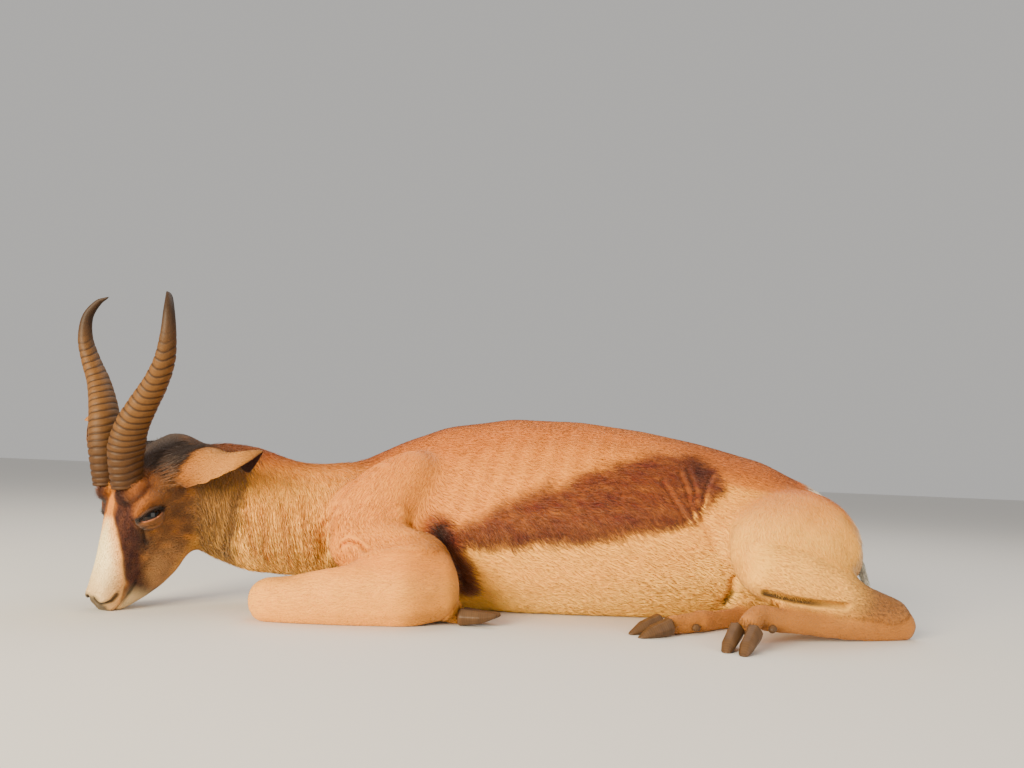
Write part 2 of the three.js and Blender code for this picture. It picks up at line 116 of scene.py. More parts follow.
# The trunk's middle line, with the angle by which its back leans over to the animal's right.
TRUNK_LINE = np.array([
    [-0.236, -0.004, 0.094, 5], [-0.130, 0.006, 0.117, 13], [-0.050, 0.010, 0.127, 20],
    [0.050, 0.014, 0.131, 27], [0.150, 0.016, 0.128, 31], [0.250, 0.016, 0.122, 33],
    [0.340, 0.010, 0.115, 34], [0.420, 0.006, 0.098, 34], [0.478, 0.004, 0.080, 30],
])


def read_off(table, place, column=1):
    """The value at a place by a table's first column, evenly between its rows."""
    return np.interp(place, table[:, 0], table[:, column])


def trunk_axes(points):
    """The middle line beside each point, with the way to the back and to the left flank there."""
    x = points[:, 0]
    centre = np.stack([x, read_off(TRUNK_LINE, x, 1), read_off(TRUNK_LINE, x, 2)], 1)
    lean = np.radians(read_off(TRUNK_LINE, x, 3))
    none = np.zeros(len(points))
    back = np.stack([none, np.sin(lean), np.cos(lean)], 1)
    flank = np.stack([none, -np.cos(lean), np.sin(lean)], 1)
    return centre, back, flank


def trunk_angle(points):
    """Degrees round the trunk from the middle of the back, positive on the left flank."""
    centre, back, flank = trunk_axes(points)
    offset = points - centre
    return np.degrees(np.arctan2((offset * flank).sum(1), (offset * back).sum(1)))


# Mesh tools

def ramp(low, high, value):
    """0 at the low end, 1 at the high end, and smooth between them. High can be below low."""
    t = np.clip((value - low) / (high - low), 0, 1)
    return t * t * (3 - 2 * t)


def bell(value, width=1.0):
    """1 where the value is 0, falling off on both sides over the width."""
    return np.exp(-(value / width) ** 2)


def unit(vectors):
    return vectors / np.maximum(np.linalg.norm(vectors, axis=-1, keepdims=True), 1e-12)


def points_of(mesh):
    points = np.empty(len(mesh.vertices) * 3, np.float32)
    mesh.vertices.foreach_get("co", points)
    return points.reshape(-1, 3).astype(float)


def edges_of(mesh):
    edges = np.empty(len(mesh.edges) * 2, np.int32)
    mesh.edges.foreach_get("vertices", edges)
    return edges.reshape(-1, 2)


def triangles_of(mesh):
    mesh.calc_loop_triangles()
    triangles = np.empty(len(mesh.loop_triangles) * 3, np.int32)
    mesh.loop_triangles.foreach_get("vertices", triangles)
    return triangles.reshape(-1, 3)


def vertex_normals(points, triangles):
    corners = points[triangles]
    faces = np.cross(corners[:, 1] - corners[:, 0], corners[:, 2] - corners[:, 0])
    total = np.stack([
        sum(np.bincount(triangles[:, corner], faces[:, axis], len(points)) for corner in range(3))
        for axis in range(3)
    ], 1)
    return unit(total)


def spread(values, edges):
    """The mean of each vertex's neighbours."""
    count = len(values)
    degree = np.bincount(edges.ravel(), minlength=count)
    start, end = edges.T
    total = np.stack([
        np.bincount(start, column[end], count) + np.bincount(end, column[start], count)
        for column in values.reshape(count, -1).T
    ], 1)
    return (total / np.maximum(degree, 1)[:, None]).reshape(values.shape)


def smooth(values, edges, rounds, share):
    """Moves each value towards its neighbours' mean, by a share of its own for every vertex."""
    share = np.broadcast_to(share, len(values)).reshape(-1, *[1] * (values.ndim - 1))
    for _ in range(rounds):
        values = values + share * (spread(values, edges) - values)
    return values


def near_line(points, line):
    """Distance from each point to a line through the given places."""
    line = np.asarray(line, float)
    best = np.full(len(points), np.inf)
    for start, end in zip(line[:-1], line[1:]):
        along = end - start
        t = np.clip((points - start) @ along / (along @ along), 0, 1)
        best = np.minimum(best, np.linalg.norm(points - start - t[:, None] * along, axis=1))
    return best


def add_object(name, mesh):
    piece = bpy.data.objects.new(name, mesh)
    bpy.context.scene.collection.objects.link(piece)
    return piece


def new_mesh(name, points, faces):
    """A mesh whose faces all have the same number of corners."""
    corners = faces.shape[1]
    mesh = bpy.data.meshes.new(name)
    mesh.vertices.add(len(points))
    mesh.vertices.foreach_set("co", points.astype(np.float32).ravel())
    mesh.loops.add(faces.size)
    mesh.loops.foreach_set("vertex_index", faces.astype(np.int32).ravel())
    mesh.polygons.add(len(faces))
    mesh.polygons.foreach_set("loop_start", np.arange(0, faces.size, corners, dtype=np.int32))
    mesh.update(calc_edges=True)
    return mesh


def put_points(mesh, points):
    mesh.vertices.foreach_set("co", points.astype(np.float32).ravel())
    mesh.update()


def put_colours(mesh, colours):
    layer = mesh.color_attributes.new("pelage", "FLOAT_COLOR", "POINT")
    rgba = np.concatenate([colours, np.ones((len(colours), 1))], 1)
    layer.data.foreach_set("color", rgba.astype(np.float32).ravel())


# Skin: the solids of flesh made into one surface, sunk by the coat's depth

VOXEL = 3.0 * MM
CLOSING = 0.6 * MM  # each solid grows by this much so that the gaps between them close
WELDING_REACH = 0.01 * MM
NOT_FLESH = ("_eye", "_horn", "claw", "_ear")
COAT_DEPTH = {"head": 1.2, "trunk": 2.4, "neck": 2.4, "tail": 3.0}  # mm; legs take LEG_COAT_DEPTH
LEG_COAT_DEPTH = 1.4
THICK_LIMBS = ("shoulder", "upper_arm", "thigh")
FLESH = sorted(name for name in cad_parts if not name.endswith(NOT_FLESH))
EYES = ("left_eye", "right_eye")
HORN_PLUG = (14, -12, 22)  # in the head frame, mm
HORN_PLUG_RADIUS = 17
EARS = ("left_ear", "right_ear")


def shape_of(work):
    """The points and triangles of a finished bmesh."""
    points = np.array([vertex.co for vertex in work.verts])
    triangles = np.array([[vertex.index for vertex in face.verts] for face in work.faces])
    work.free()
    return points, triangles


def welded(node):
    """A solid's points and triangles, with the points that its faces share joined."""
    work = bmesh.new()
    work.from_mesh(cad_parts[node].data)
    bmesh.ops.remove_doubles(work, verts=work.verts, dist=WELDING_REACH)
    bmesh.ops.triangulate(work, faces=work.faces)
    return shape_of(work)


def plug(side):
    """A ball that closes the hollow left in the head by a horn's foot."""
    work = bmesh.new()
    bmesh.ops.create_icosphere(work, subdivisions=3, radius=HORN_PLUG_RADIUS * MM)
    points, triangles = shape_of(work)
    return points + head_world(HORN_PLUG, side), triangles


def together(solids):
    """The points and triangles of several solids as one mesh."""
    starts = np.cumsum([0, *(len(points) for points, _ in solids[:-1])])
    triangles = [own + start for start, (_, own) in zip(starts, solids)]
    return np.concatenate([points for points, _ in solids]), np.concatenate(triangles)


def tree_of(points, triangles):
    return BVHTree.FromPolygons(points.tolist(), triangles.tolist())


def joined_flesh():
    """The solids of flesh as one mesh, and the solid of each triangle. Eyes and plugs count as head."""
    head_fillings = [*(welded(node) for node in EYES), *(plug(side) for side in SIDES.values())]
    solids = [*(welded(node) for node in FLESH), *head_fillings]
    owners = [*range(len(FLESH)), *[FLESH.index("head")] * len(head_fillings)]
    points, triangles = together([
        (points + vertex_normals(points, triangles) * CLOSING, triangles) for points, triangles in solids
    ])
    return points, triangles, np.repeat(owners, [len(triangles) for _, triangles in solids])


def biggest_part(points, quads):
    """Leaves only the faces that hang together with the largest surface."""
    label = np.arange(len(points))
    edges = np.concatenate([quads[:, [i, (i + 1) % 4]] for i in range(4)])
    while True:
        low = np.minimum(label[edges[:, 0]], label[edges[:, 1]])
        before = label.copy()
        np.minimum.at(label, edges[:, 0], low)
        np.minimum.at(label, edges[:, 1], low)
        label = label[label]
        if (label == before).all():
            break
    kept = label == np.bincount(label).argmax()
    number = np.cumsum(kept) - 1
    return points[kept], number[quads[kept[quads[:, 0]]]]


def voxel_mesh(points, triangles, size):
    """One closed mesh of even quads round all that the triangles enclose."""
    piece = add_object("voxels", new_mesh("voxels", points, triangles))
    remesh = piece.modifiers.new("remesh", "REMESH")
    remesh.mode = "VOXEL"
    remesh.voxel_size = size
    mesh = bpy.data.meshes.new_from_object(piece.evaluated_get(bpy.context.evaluated_depsgraph_get()))
    bpy.data.objects.remove(piece)
    return mesh


def voxel_skin(points, triangles):
    mesh = voxel_mesh(points, triangles, VOXEL)
    quads = np.empty(len(mesh.loops), np.int32)
    mesh.loops.foreach_get("vertex_index", quads)
    return biggest_part(points_of(mesh), quads.reshape(-1, 4))


def nearest_solids(points):
    """The number in FLESH of the solid that is nearest to each point."""
    return flesh_owner[[flesh_tree.find_nearest(point)[2] for point in points]]


flesh_points, flesh_triangles, flesh_owner = joined_flesh()
flesh_tree = tree_of(flesh_points, flesh_triangles)


# Smoothing

# Facets of broad parts are spread far, those of legs and head only a little, and the joints where one
# muscle runs into the next are filled.
SMOOTHING_ROUNDS = 110
SHARE_BLENDING_ROUNDS = 8
DEPTH_BLENDING_ROUNDS = 12
SMOOTHING_SHARE = {"trunk": 0.5, "neck": 0.45, "head": 0.06, "tail": 0.1}
LEG_SMOOTHING_SHARE = 0.08
THICK_LIMB_SMOOTHING_SHARE = 0.35
JOINT_REACH = (0.042, 0.012)  # distances from the neighbour at which the filling starts and is full
GIVEN_BACK = 0.75  # share of the broad shrinking that is undone
FLOOR_REACH = 0.012  # height below which the skin settles on the floor
FLOOR_SETTLING = 0.0018
SKIN_FLOOR = 0.5 * MM


def joints():
    """Pairs of solids whose border is smooth on the animal."""
    pairs = [("trunk", "neck"), ("neck", "head")]
    for side in ("left_", "right_"):
        pairs += [
            ("trunk", side + "shoulder"), ("neck", side + "shoulder"), ("trunk", side + "upper_arm"),
            (side + "shoulder", side + "upper_arm"), (side + "upper_arm", side + "forearm"),
            (side + "shoulder", side + "forearm"), ("trunk", side + "forearm"),
            ("trunk", side + "thigh"), (side + "thigh", side + "gaskin"),
        ]
    return pairs


def joint_share(points, owner):
    """1 at the joints, falling to 0 away from them."""
    share = np.zeros(len(points))
    trees = {}
    for pair in joints():
        for node, other in (pair, pair[::-1]):
            if other not in trees:
                trees[other] = tree_of(*welded(other))
            mine = np.nonzero(owner == FLESH.index(node))[0]
            gap = np.array([trees[other].find_nearest(point)[3] for point in points[mine]])
            share[mine] = np.maximum(share[mine], ramp(*JOINT_REACH, gap))
    return share


def by_owner(owner, table, thick, thin):
    """A value for each point from the name of the solid that it belongs to."""
    values = [table.get(name, thick if name.endswith(THICK_LIMBS) else thin) for name in FLESH]
    return np.array(values)[owner]


def build_base():
    """The smoothed skin before it is sculpted."""
    points, quads = voxel_skin(flesh_points, flesh_triangles)
    edges = edges_of(new_mesh("edges", points, quads))
    owner = nearest_solids(points)
    share = by_owner(owner, SMOOTHING_SHARE, THICK_LIMB_SMOOTHING_SHARE, LEG_SMOOTHING_SHARE)
    share = np.maximum(share, 0.5 * joint_share(points, owner))
    share = smooth(share, edges, SHARE_BLENDING_ROUNDS, 0.5)
    softened = smooth(points, edges, SMOOTHING_ROUNDS, share)
    points = softened + GIVEN_BACK * smooth(points - softened, edges, SMOOTHING_ROUNDS, 0.5)
    depth = by_owner(owner, COAT_DEPTH, COAT_DEPTH["trunk"], LEG_COAT_DEPTH)
    depth = smooth(depth, edges, DEPTH_BLENDING_ROUNDS, 0.5) * MM
    triangles = np.concatenate([quads[:, [0, 1, 2]], quads[:, [0, 2, 3]]])
    points = points - vertex_normals(points, triangles) * depth[:, None]
    points[:, 2] -= ramp(FLOOR_REACH, FLOOR_REACH / 3, points[:, 2]) * FLOOR_SETTLING
    points[:, 2] = np.maximum(points[:, 2], SKIN_FLOOR)
    return points, quads


# Finer faces on the head, finest at the eyes and the muzzle

HEAD_BOX = ((-75, -140, -68), (165, 30, 68))  # corners round the head in its frame, mm
EYE_AT = np.array([36.0, -31.0, 38.0])  # left eye in the head frame, mm
EYE_RADIUS = 15.5
EYE_DETAIL_REACH = 30
EYE_DEPTH_SHARE = 0.8  # how much distances across the head count there
MUZZLE_FROM = 108.0  # mm down the face from the horn bases
FOLD_REACH = 0.016
SLIT_DEPTH_SHARE = np.array([1, 0.3, 1])  # how much distances along each axis count at a slit
REFINING_ROUNDS = 3


def on_head(points):
    places = head_place(points)
    return ((places > HEAD_BOX[0]) & (places < HEAD_BOX[1])).all(1)


def on_face_detail(points):
    places = head_place(points)
    eyes = [(places - on_side(EYE_AT, side)) * [1, 1, EYE_DEPTH_SHARE] for side in SIDES.values()]
    near_eye = np.linalg.norm(eyes, axis=2).min(0) < EYE_DETAIL_REACH
    return on_head(points) & (near_eye | (places[:, 0] > MUZZLE_FROM))


def on_folds(points):
    """The fold of the elbow and the slits of the hind leg."""
    lines = (ELBOW_FOLD, HOCK_SLIT, BELLY_CREASE)
    return np.min([near_line(points, line) for line in lines], 0) < FOLD_REACH


def refine(mesh, chosen):
    """Cuts the chosen faces in four."""
    work = bmesh.new()
    work.from_mesh(mesh)
    picked = chosen(points_of(mesh))
    edges = [edge for edge in work.edges if picked[edge.verts[0].index] and picked[edge.verts[1].index]]
    bmesh.ops.subdivide_edges(work, edges=edges, cuts=1, use_grid_fill=True)
    work.to_mesh(mesh)
    work.free()
    points = points_of(mesh)
    share = chosen(points) * 0.5
    put_points(mesh, smooth(points, edges_of(mesh), REFINING_ROUNDS, share))


# Sculpting

def draped(tree, line, steps=8):
    """A line between the given places, laid on the surface."""
    line = np.asarray(line, float)
    places = [
        start + (end - start) * step / steps
        for start, end in zip(line[:-1], line[1:]) for step in range(steps)
    ]
    return np.array([tree.find_nearest(Vector(place))[0] for place in [*places, line[-1]]])


class Sculpture:
    """The skin's points, which presses and bumps move along the surface's normals."""

    def __init__(self, mesh):
        self.triangles = triangles_of(mesh)
        self.points = points_of(mesh)
        self.settle()

    def settle(self):
        self.normals = vertex_normals(self.points, self.triangles)
        self.tree = tree_of(self.points, self.triangles)

    def line(self, line, width, height):
        """Raises a ridge along a line on the surface, or sinks a groove if the height is below 0. In mm."""
        route = draped(self.tree, line)
        reach = 3 * width * MM
        box = ((self.points > route.min(0) - reach) & (self.points < route.max(0) + reach)).all(1)
        profile = bell(near_line(self.points[box], route), width * MM)
        self.points[box] += self.normals[box] * (profile * height * MM)[:, None]

    def fold(self, line, width, height, shift, ridge_width, ridge_height):
        """A groove with a ridge beside it, at the given shift in metres."""
        self.line(line, width, height)
        self.line(np.asarray(line) + shift, ridge_width, ridge_height)

    def mound(self, centre, radii, height):
        """Raises or sinks the surface round a place, by a bell of the given half widths. In mm."""
        offset = (self.points - centre) / (np.asarray(radii) * MM)
        profile = bell(np.linalg.norm(offset, axis=1))
        self.points += self.normals * (profile * height * MM)[:, None]


# Folds and forms of the left side, as places in metres
SHOULDER_CREASE = [
    (-0.182, -0.094, 0.189), (-0.203, -0.097, 0.172), (-0.224, -0.116, 0.140),
    (-0.241, -0.096, 0.110), (-0.238, -0.087, 0.074),
]
ELBOW_FOLD = [
    (-0.206, -0.140, 0.090), (-0.199, -0.146, 0.096), (-0.185, -0.152, 0.094), (-0.170, -0.159, 0.084),
]
ARMPIT = [
    (-0.092, -0.100, 0.112), (-0.078, -0.106, 0.085), (-0.062, -0.100, 0.058), (-0.056, -0.088, 0.036),
]
UPPER_ARM_STEP = [
    (-0.139, -0.109, 0.126), (-0.125, -0.100, 0.118), (-0.107, -0.105, 0.110), (-0.090, -0.115, 0.104),
]
ARM_STEP = [
    (-0.195, -0.140, 0.062), (-0.172, -0.155, 0.071), (-0.140, -0.166, 0.078), (-0.100, -0.160, 0.086),
]
STIFLE_FOLD = [(0.257, -0.093, 0.150), (0.270, -0.099, 0.126), (0.283, -0.118, 0.098)]
FLANK_HOLLOW = (0.266, -0.048, 0.206)
FLANK_HOLLOW_RADII = (26, 40, 34)
FLANK_FOLDS = [
    [(0.245, -0.098, 0.142), (0.240, -0.080, 0.168), (0.232, -0.060, 0.196)],
    [(0.248, -0.096, 0.146), (0.251, -0.076, 0.174), (0.249, -0.052, 0.208)],
    [(0.238, -0.102, 0.136), (0.222, -0.092, 0.158), (0.206, -0.076, 0.184)],
    [(0.256, -0.092, 0.150), (0.268, -0.074, 0.178), (0.280, -0.056, 0.200)],
]
# Partings of the neck's coat, the step behind the cheek, and the slits of the hind leg
NECK_PARTINGS = [
    [(-0.346, -0.110, 0.152), (-0.338, -0.113, 0.114), (-0.328, -0.103, 0.072)],
    [(-0.321, -0.109, 0.140), (-0.316, -0.110, 0.102), (-0.315, -0.096, 0.064)],
    [(-0.297, -0.105, 0.141), (-0.290, -0.105, 0.102), (-0.288, -0.090, 0.062)],
    [(-0.273, -0.098, 0.148), (-0.264, -0.100, 0.106), (-0.259, -0.089, 0.068)],
]
CHEEK_STEP = [
    (-0.352, -0.112, 0.148), (-0.354, -0.113, 0.120), (-0.355, -0.110, 0.100), (-0.363, -0.101, 0.078),
]
HOCK_SLIT = [
    (0.314, -0.185, 0.057), (0.344, -0.185, 0.052), (0.382, -0.179, 0.047), (0.418, -0.172, 0.044),
]
BELLY_CREASE = [
    (0.300, -0.130, 0.072), (0.306, -0.110, 0.058), (0.306, -0.084, 0.042), (0.298, -0.072, 0.026),
]
HORN_COLLAR = (9, 3, 24)
HORN_COLLAR_RADII = (26, 26, 26)


def opposite(line):
    """The same line on the trunk's other side, across its leaning middle plane."""
    line = np.atleast_2d(np.asarray(line, float))
    centre, _, flank = trunk_axes(line)
    return line - 2 * ((line - centre) * flank).sum(1)[:, None] * flank


def sculpt_body(skin):
    skin.fold(SHOULDER_CREASE, 7, -4.5, (0.014, 0, 0.004), 10, 2)
    skin.line(ARM_STEP, 13, 5)
    skin.line(UPPER_ARM_STEP, 12, 5)
    skin.settle()
    skin.fold(ELBOW_FOLD, 2.4, -3.4, (0, 0, 0.006), 3.4, 2.4)
    skin.line(ARMPIT, 8, -8)
    skin.line(STIFLE_FOLD, 9, -4)
    skin.line(BELLY_CREASE, 6, -7)
    skin.fold(CHEEK_STEP, 5, -2.6, (-0.012, 0, 0), 8, 2.2)
    for parting in NECK_PARTINGS:
        skin.fold(parting, 3.2, -1.4, (0.010, 0, 0), 5, 1.0)
    skin.line(HOCK_SLIT, 3.6, -11)
    skin.mound(FLANK_HOLLOW, FLANK_HOLLOW_RADII, -7)
    skin.mound(opposite(FLANK_HOLLOW)[0], FLANK_HOLLOW_RADII, -6)
    skin.settle()
    for fold in FLANK_FOLDS:
        skin.fold(fold, 3.2, -2.4, (0.007, 0, 0), 3.5, 1.4)
    skin.settle()
    ribs(skin)


RIB_SPACING = 0.030
RIB_HEIGHT = 0.5 * MM
RIB_SLANT = 0.0005  # metres by which the ribs run forward for each degree down the side
RIBS_DOWN = ((35, 60), (125, 105))  # degrees from the middle of the back where they start and end
RIBS_ALONG = ((-0.10, -0.04), (0.2, 0.14))  # the same along the trunk, in metres


def ribs(skin):
    """Low waves over the ribs."""
    angle = np.abs(trunk_angle(skin.points))
    x = skin.points[:, 0]
    where = math.prod(ramp(*limits, angle) for limits in RIBS_DOWN)
    where = where * math.prod(ramp(*limits, x) for limits in RIBS_ALONG)
    wave = np.cos((x + angle * RIB_SLANT) / RIB_SPACING * 2 * math.pi)
    skin.points += skin.normals * (where * wave * RIB_HEIGHT)[:, None]


EAR_LENGTH = 0.128
EAR_HALF_WIDTH = 0.028
EAR_EDGE = 0.9 * MM  # half thickness at the margin
EAR_MIDDLE = 1.7 * MM
EAR_ROOT_SWELL = 1.8  # how much thicker the root is
EAR_SWELL_REACH = 0.2  # shares of its length
EAR_TIP_REACH = 0.04
EAR_ROOT_DEPTH = 0.008
EAR_RINGS = 80
EAR_SIDES = 56
EAR_TWIST_FROM = (0.26, 0.85)  # shares of its length
EAR_MOUND_RADII = (22, 22, 22)  # mm
HEAD_MOUND_HEIGHT = 5
# The root of each ear in the head frame, the ways it points and its hollow faces, and the degrees by which
# it turns about its length towards the tip
EAR_PLACES = {
    "left_ear": {"root": (-40, -32, 44), "ahead": (1, -0.2, 0.13), "open": (0, 0.8, -0.6), "twist": 62},
    "right_ear": {
        "root": (-40, -34, -42), "ahead": (-0.8, 0.36, 0.42), "open": (-0.5, -0.6, -0.35), "twist": 0,
    },
}
# Half width and the bend of the sections, in radians, at shares of the length
EAR_OUTLINE = np.array([
    [0, 0.62], [0.12, 0.9], [0.28, 1.04], [0.45, 1.06], [0.62, 0.94], [0.78, 0.66], [0.92, 0.28], [1.0, 0.03],
])
EAR_BEND = np.array([[0, 2.2], [0.12, 1.7], [0.3, 1.1], [0.5, 1.15], [0.8, 1.9], [1, 2.1]])


# Lines of the face's left side in the head frame, mm
MOUTH = [(152, -46, 0), (149, -48, 10), (140, -51, 18), (128, -54, 24), (116, -56, 27)]
NOSTRIL = [(145, -25, 9), (147, -32, 14), (142, -38, 20), (135, -40, 23)]
GLAND = [(50, -27, 41), (58, -35, 38), (66, -43, 34)]
BROW = [(4, -36, 52), (16, -18, 50), (34, -10, 46), (48, -14, 42)]
CHEEK_BONE = [(24, -54, 44), (52, -56, 41), (84, -54, 33), (108, -50, 28)]
JAW_GROOVE = [(64, -60, 38), (76, -84, 32), (80, -104, 24)]
NOSE_MIDDLE = [(152, -24, 0), (155, -34, 0), (154, -44, 0)]
# Lines drawn on the face one set after the other, with half width and height, in mm
FACE_STROKES = [
    [(BROW, 6, 2.2), (CHEEK_BONE, 6, 1.2), (JAW_GROOVE, 8, -1.6), (GLAND, 2.6, -2.2)],
    [(np.asarray(MOUTH) + [0, 4, 0.5], 4.0, 1.3), (np.asarray(NOSTRIL) + [-3, 3, 1], 3.5, 1.0)],
    [(MOUTH, 1.6, -3.2), (NOSTRIL, 2.1, -5.0)],
]


def sculpt_head(skin):
    for side, ear in zip(SIDES.values(), EARS):
        skin.mound(head_world(HORN_COLLAR, side), HORN_COLLAR_RADII, HEAD_MOUND_HEIGHT)
        skin.mound(head_world(EAR_PLACES[ear]["root"]), EAR_MOUND_RADII, HEAD_MOUND_HEIGHT)
    for strokes in FACE_STROKES:
        skin.settle()
        for side in SIDES.values():
            for line, width, height in strokes:
                skin.line(head_world(line, side), width, height)
    skin.line(head_world(NOSE_MIDDLE), 1.4, -1.2)
    skin.settle()
    for side in SIDES.values():
        open_eye(skin, side)
    skin.settle()


# Eye opening: a lens between the inner corner, down the face, and the outer one. Sizes in mm.
EYE_OUTWARD = (-0.15, 0.30, 0.94)  # way the eye looks, in the head frame
EYE_SLIT = (0.70, 0.69, -0.11)  # way from the outer corner to the inner one
EYE_HALF_LENGTH = 15.5
EYE_HALF_OPENING = 3.8
EYE_REACH = 32  # how far from its middle an eye shapes the face
EYE_BACK_REACH = -2  # the same behind its middle
LID_THICKNESS = 1.7
LID_EDGE = 1.0
LID_BLEND = 0.8  # how softly the lids run out into the face
LID_RUN_OUT = (12, 4)  # distances from the opening where the lid ends and where it is full
FACE_RUN_OUT = (30, 22)  # the same from the middle of the eye
LID_MARGIN = (1.6, 1.5, 0.7)  # distance from the opening, half width and height
LID_CREASE = (5.5, 1.1, -0.9)
SOCKET_DEPTH = 3.5


def beyond_opening(u, v):
    """Distance outside the eye's opening, whose half height shrinks towards its corners."""
    half_height = EYE_HALF_OPENING * np.clip(1 - (u / EYE_HALF_LENGTH) ** 2, 0, None)
    past_corner = np.hypot(np.abs(u) - EYE_HALF_LENGTH, v)
    return np.where(np.abs(u) > EYE_HALF_LENGTH, past_corner, np.abs(v) - half_height)


def eye_axes(side):
    """The ways out of the eye, along its slit and over to the brow, in the head frame."""
    out = unit(on_side(EYE_OUTWARD, side))
    slit = on_side(EYE_SLIT, side)
    slit = unit(slit - (slit @ out) * out)
    over = unit(np.cross(out, slit))
    return out, slit, over if over @ [-0.3, 1, 0] > 0 else -over


def from_eye(points, side):
    """Offsets from the middle of an eye in the head frame, and their lengths along its three ways."""
    offset = head_place(points) - on_side(EYE_AT, side)
    return offset, *(offset @ way for way in eye_axes(side))


def open_eye(skin, side):
    """Wraps the skin round the eyeball as two lids and sinks it behind the eyeball within the opening."""
    offset, w, u, v = from_eye(skin.points, side)
    reach = np.linalg.norm(offset, axis=1)
    near = np.nonzero((reach < EYE_REACH) & (w > EYE_BACK_REACH))[0]
    offset, reach = offset[near], reach[near]
    outside = beyond_opening(u[near], v[near])
    lid = EYE_RADIUS + LID_THICKNESS
    over_ball = lid + LID_BLEND * np.logaddexp(0, (reach - lid) / LID_BLEND)
    target = over_ball + (lid - over_ball) * ramp(*LID_RUN_OUT, outside)
    target = reach + (target - reach) * ramp(*FACE_RUN_OUT, reach)
    for place, width, height in (LID_MARGIN, LID_CREASE):
        target += height * bell(outside - place, width)
    inside = ramp(LID_EDGE / 2, -LID_EDGE / 2, outside)
    target = target * (1 - inside) + (EYE_RADIUS - SOCKET_DEPTH) * inside
    skin.points[near] = head_world(on_side(EYE_AT, side) + offset * (target / reach)[:, None])


base_points, base_quads = build_base()
skin_mesh = new_mesh("skin", base_points, base_quads)
refine(skin_mesh, on_head)
refine(skin_mesh, on_face_detail)
refine(skin_mesh, on_folds)
skin = Sculpture(skin_mesh)
sculpt_body(skin)
sculpt_head(skin)
skin.points[:, 2] = np.maximum(skin.points[:, 2], SKIN_FLOOR)
put_points(skin_mesh, skin.points)


# Ears: leaves that are bent round their length, with the hollow inside the bend

def ring_quads(rings, sides):
    """The faces between rings of points that lie one after the other."""
    ring, side = np.meshgrid(np.arange(rings - 1), np.arange(sides), indexing="ij")
    after = (side + 1) % sides
    this, following = ring * sides, (ring + 1) * sides
    return np.stack([this + side, this + after, following + after, following + side], -1).reshape(-1, 4)


def ear_axes(name):
    place = EAR_PLACES[name]
    along = unit(np.array(place["ahead"], float))
    facing = np.array(place["open"], float)
    facing = unit(facing - (facing @ along) * along)
    return head_world(place["root"]), along, facing, np.cross(along, facing)


def ear_mesh(name):
    """A leaf whose sections are bent round a circle, so that its margins roll in towards the tip."""
    base, along, facing, across = ear_axes(name)
    t = np.linspace(0, 1, EAR_RINGS)[:, None]
    turn = np.linspace(0, 2 * math.pi, EAR_SIDES, endpoint=False)[None, :]
    width = read_off(EAR_OUTLINE, t) * EAR_HALF_WIDTH
    bend = read_off(EAR_BEND, t)
    swell = 1 + EAR_ROOT_SWELL * np.clip(1 - t / EAR_SWELL_REACH, 0, 1)
    thinning = np.clip((1 - t) / EAR_TIP_REACH, 0, 1)
    thickness = (EAR_EDGE + (EAR_MIDDLE - EAR_EDGE) * np.sin(turn) ** 2) * swell * thinning
    curve = width / np.sin(np.minimum(bend, math.pi / 2))
    angle = np.cos(turn) * bend
    from_centre = curve - np.sin(turn) * thickness
    sideways = from_centre * np.sin(angle)
    rise = curve - from_centre * np.cos(angle)
    twist = np.radians(EAR_PLACES[name]["twist"]) * ramp(*EAR_TWIST_FROM, t)
    turned_side = sideways * np.cos(twist) - rise * np.sin(twist)
    turned_rise = sideways * np.sin(twist) + rise * np.cos(twist)
    grid = (
        base + (t * EAR_LENGTH - EAR_ROOT_DEPTH)[..., None] * along
        + turned_side[..., None] * across + turned_rise[..., None] * facing
    )
    return new_mesh(name, grid.reshape(-1, 3), ring_quads(EAR_RINGS, EAR_SIDES))


def join_meshes(name, meshes):
    work = bmesh.new()
    for mesh in meshes:
        work.from_mesh(mesh)
    bmesh.ops.holes_fill(work, edges=[edge for edge in work.edges if edge.is_boundary], sides=0)
    bmesh.ops.triangulate(work, faces=[face for face in work.faces if len(face.verts) > 4])
    bmesh.ops.recalc_face_normals(work, faces=work.faces)
    joined = bpy.data.meshes.new(name)
    work.to_mesh(joined)
    work.free()
    return joined


# Regions of the skin, which blend into each other across their borders

REGIONS = {
    "head": ("head",), "neck": ("neck",), "trunk": ("trunk",), "arm": ("shoulder", "upper_arm"),
    "foreleg": ("forearm", "front_cannon", "front_pastern"), "thigh": ("thigh",), "gaskin": ("gaskin",),
    "hind_leg": ("hind_cannon", "hind_pastern"), "tail": ("tail",), "ear": ("ear",),
}
REGION_NAMES = list(REGIONS)
REGION_BLENDING_ROUNDS = 60


def region_of(node):
    return next(i for i, name in enumerate(REGION_NAMES) if node.endswith(REGIONS[name]))


def within(regions, *names):
    """Which of the regions are among those named."""
    return np.isin(regions, [REGION_NAMES.index(name) for name in names])


NODE_REGION = np.array([region_of(name) for name in FLESH])


class Surface:
    """The finished skin, with what the markings and the coat need at each of its points."""

    def __init__(self, mesh, ear_counts):
        self.points = points_of(mesh)
        self.triangles = triangles_of(mesh)
        self.edges = edges_of(mesh)
        self.normals = vertex_normals(self.points, self.triangles)
        count = len(self.points)
        self.ear = np.full(count, -1)
        start = count - sum(ear_counts)
        for number, ear_count in enumerate(ear_counts):
            self.ear[start:start + ear_count] = number
            start += ear_count
        body = self.ear < 0
        self.owner = np.zeros(count, int)
        self.owner[body] = nearest_solids(self.points[body])
        region = NODE_REGION[self.owner]
        region[~body] = REGION_NAMES.index("ear")
        self.region = region
        self.weights = smooth(np.eye(len(REGION_NAMES))[region], self.edges, REGION_BLENDING_ROUNDS, 0.5)


# Lie of the coat

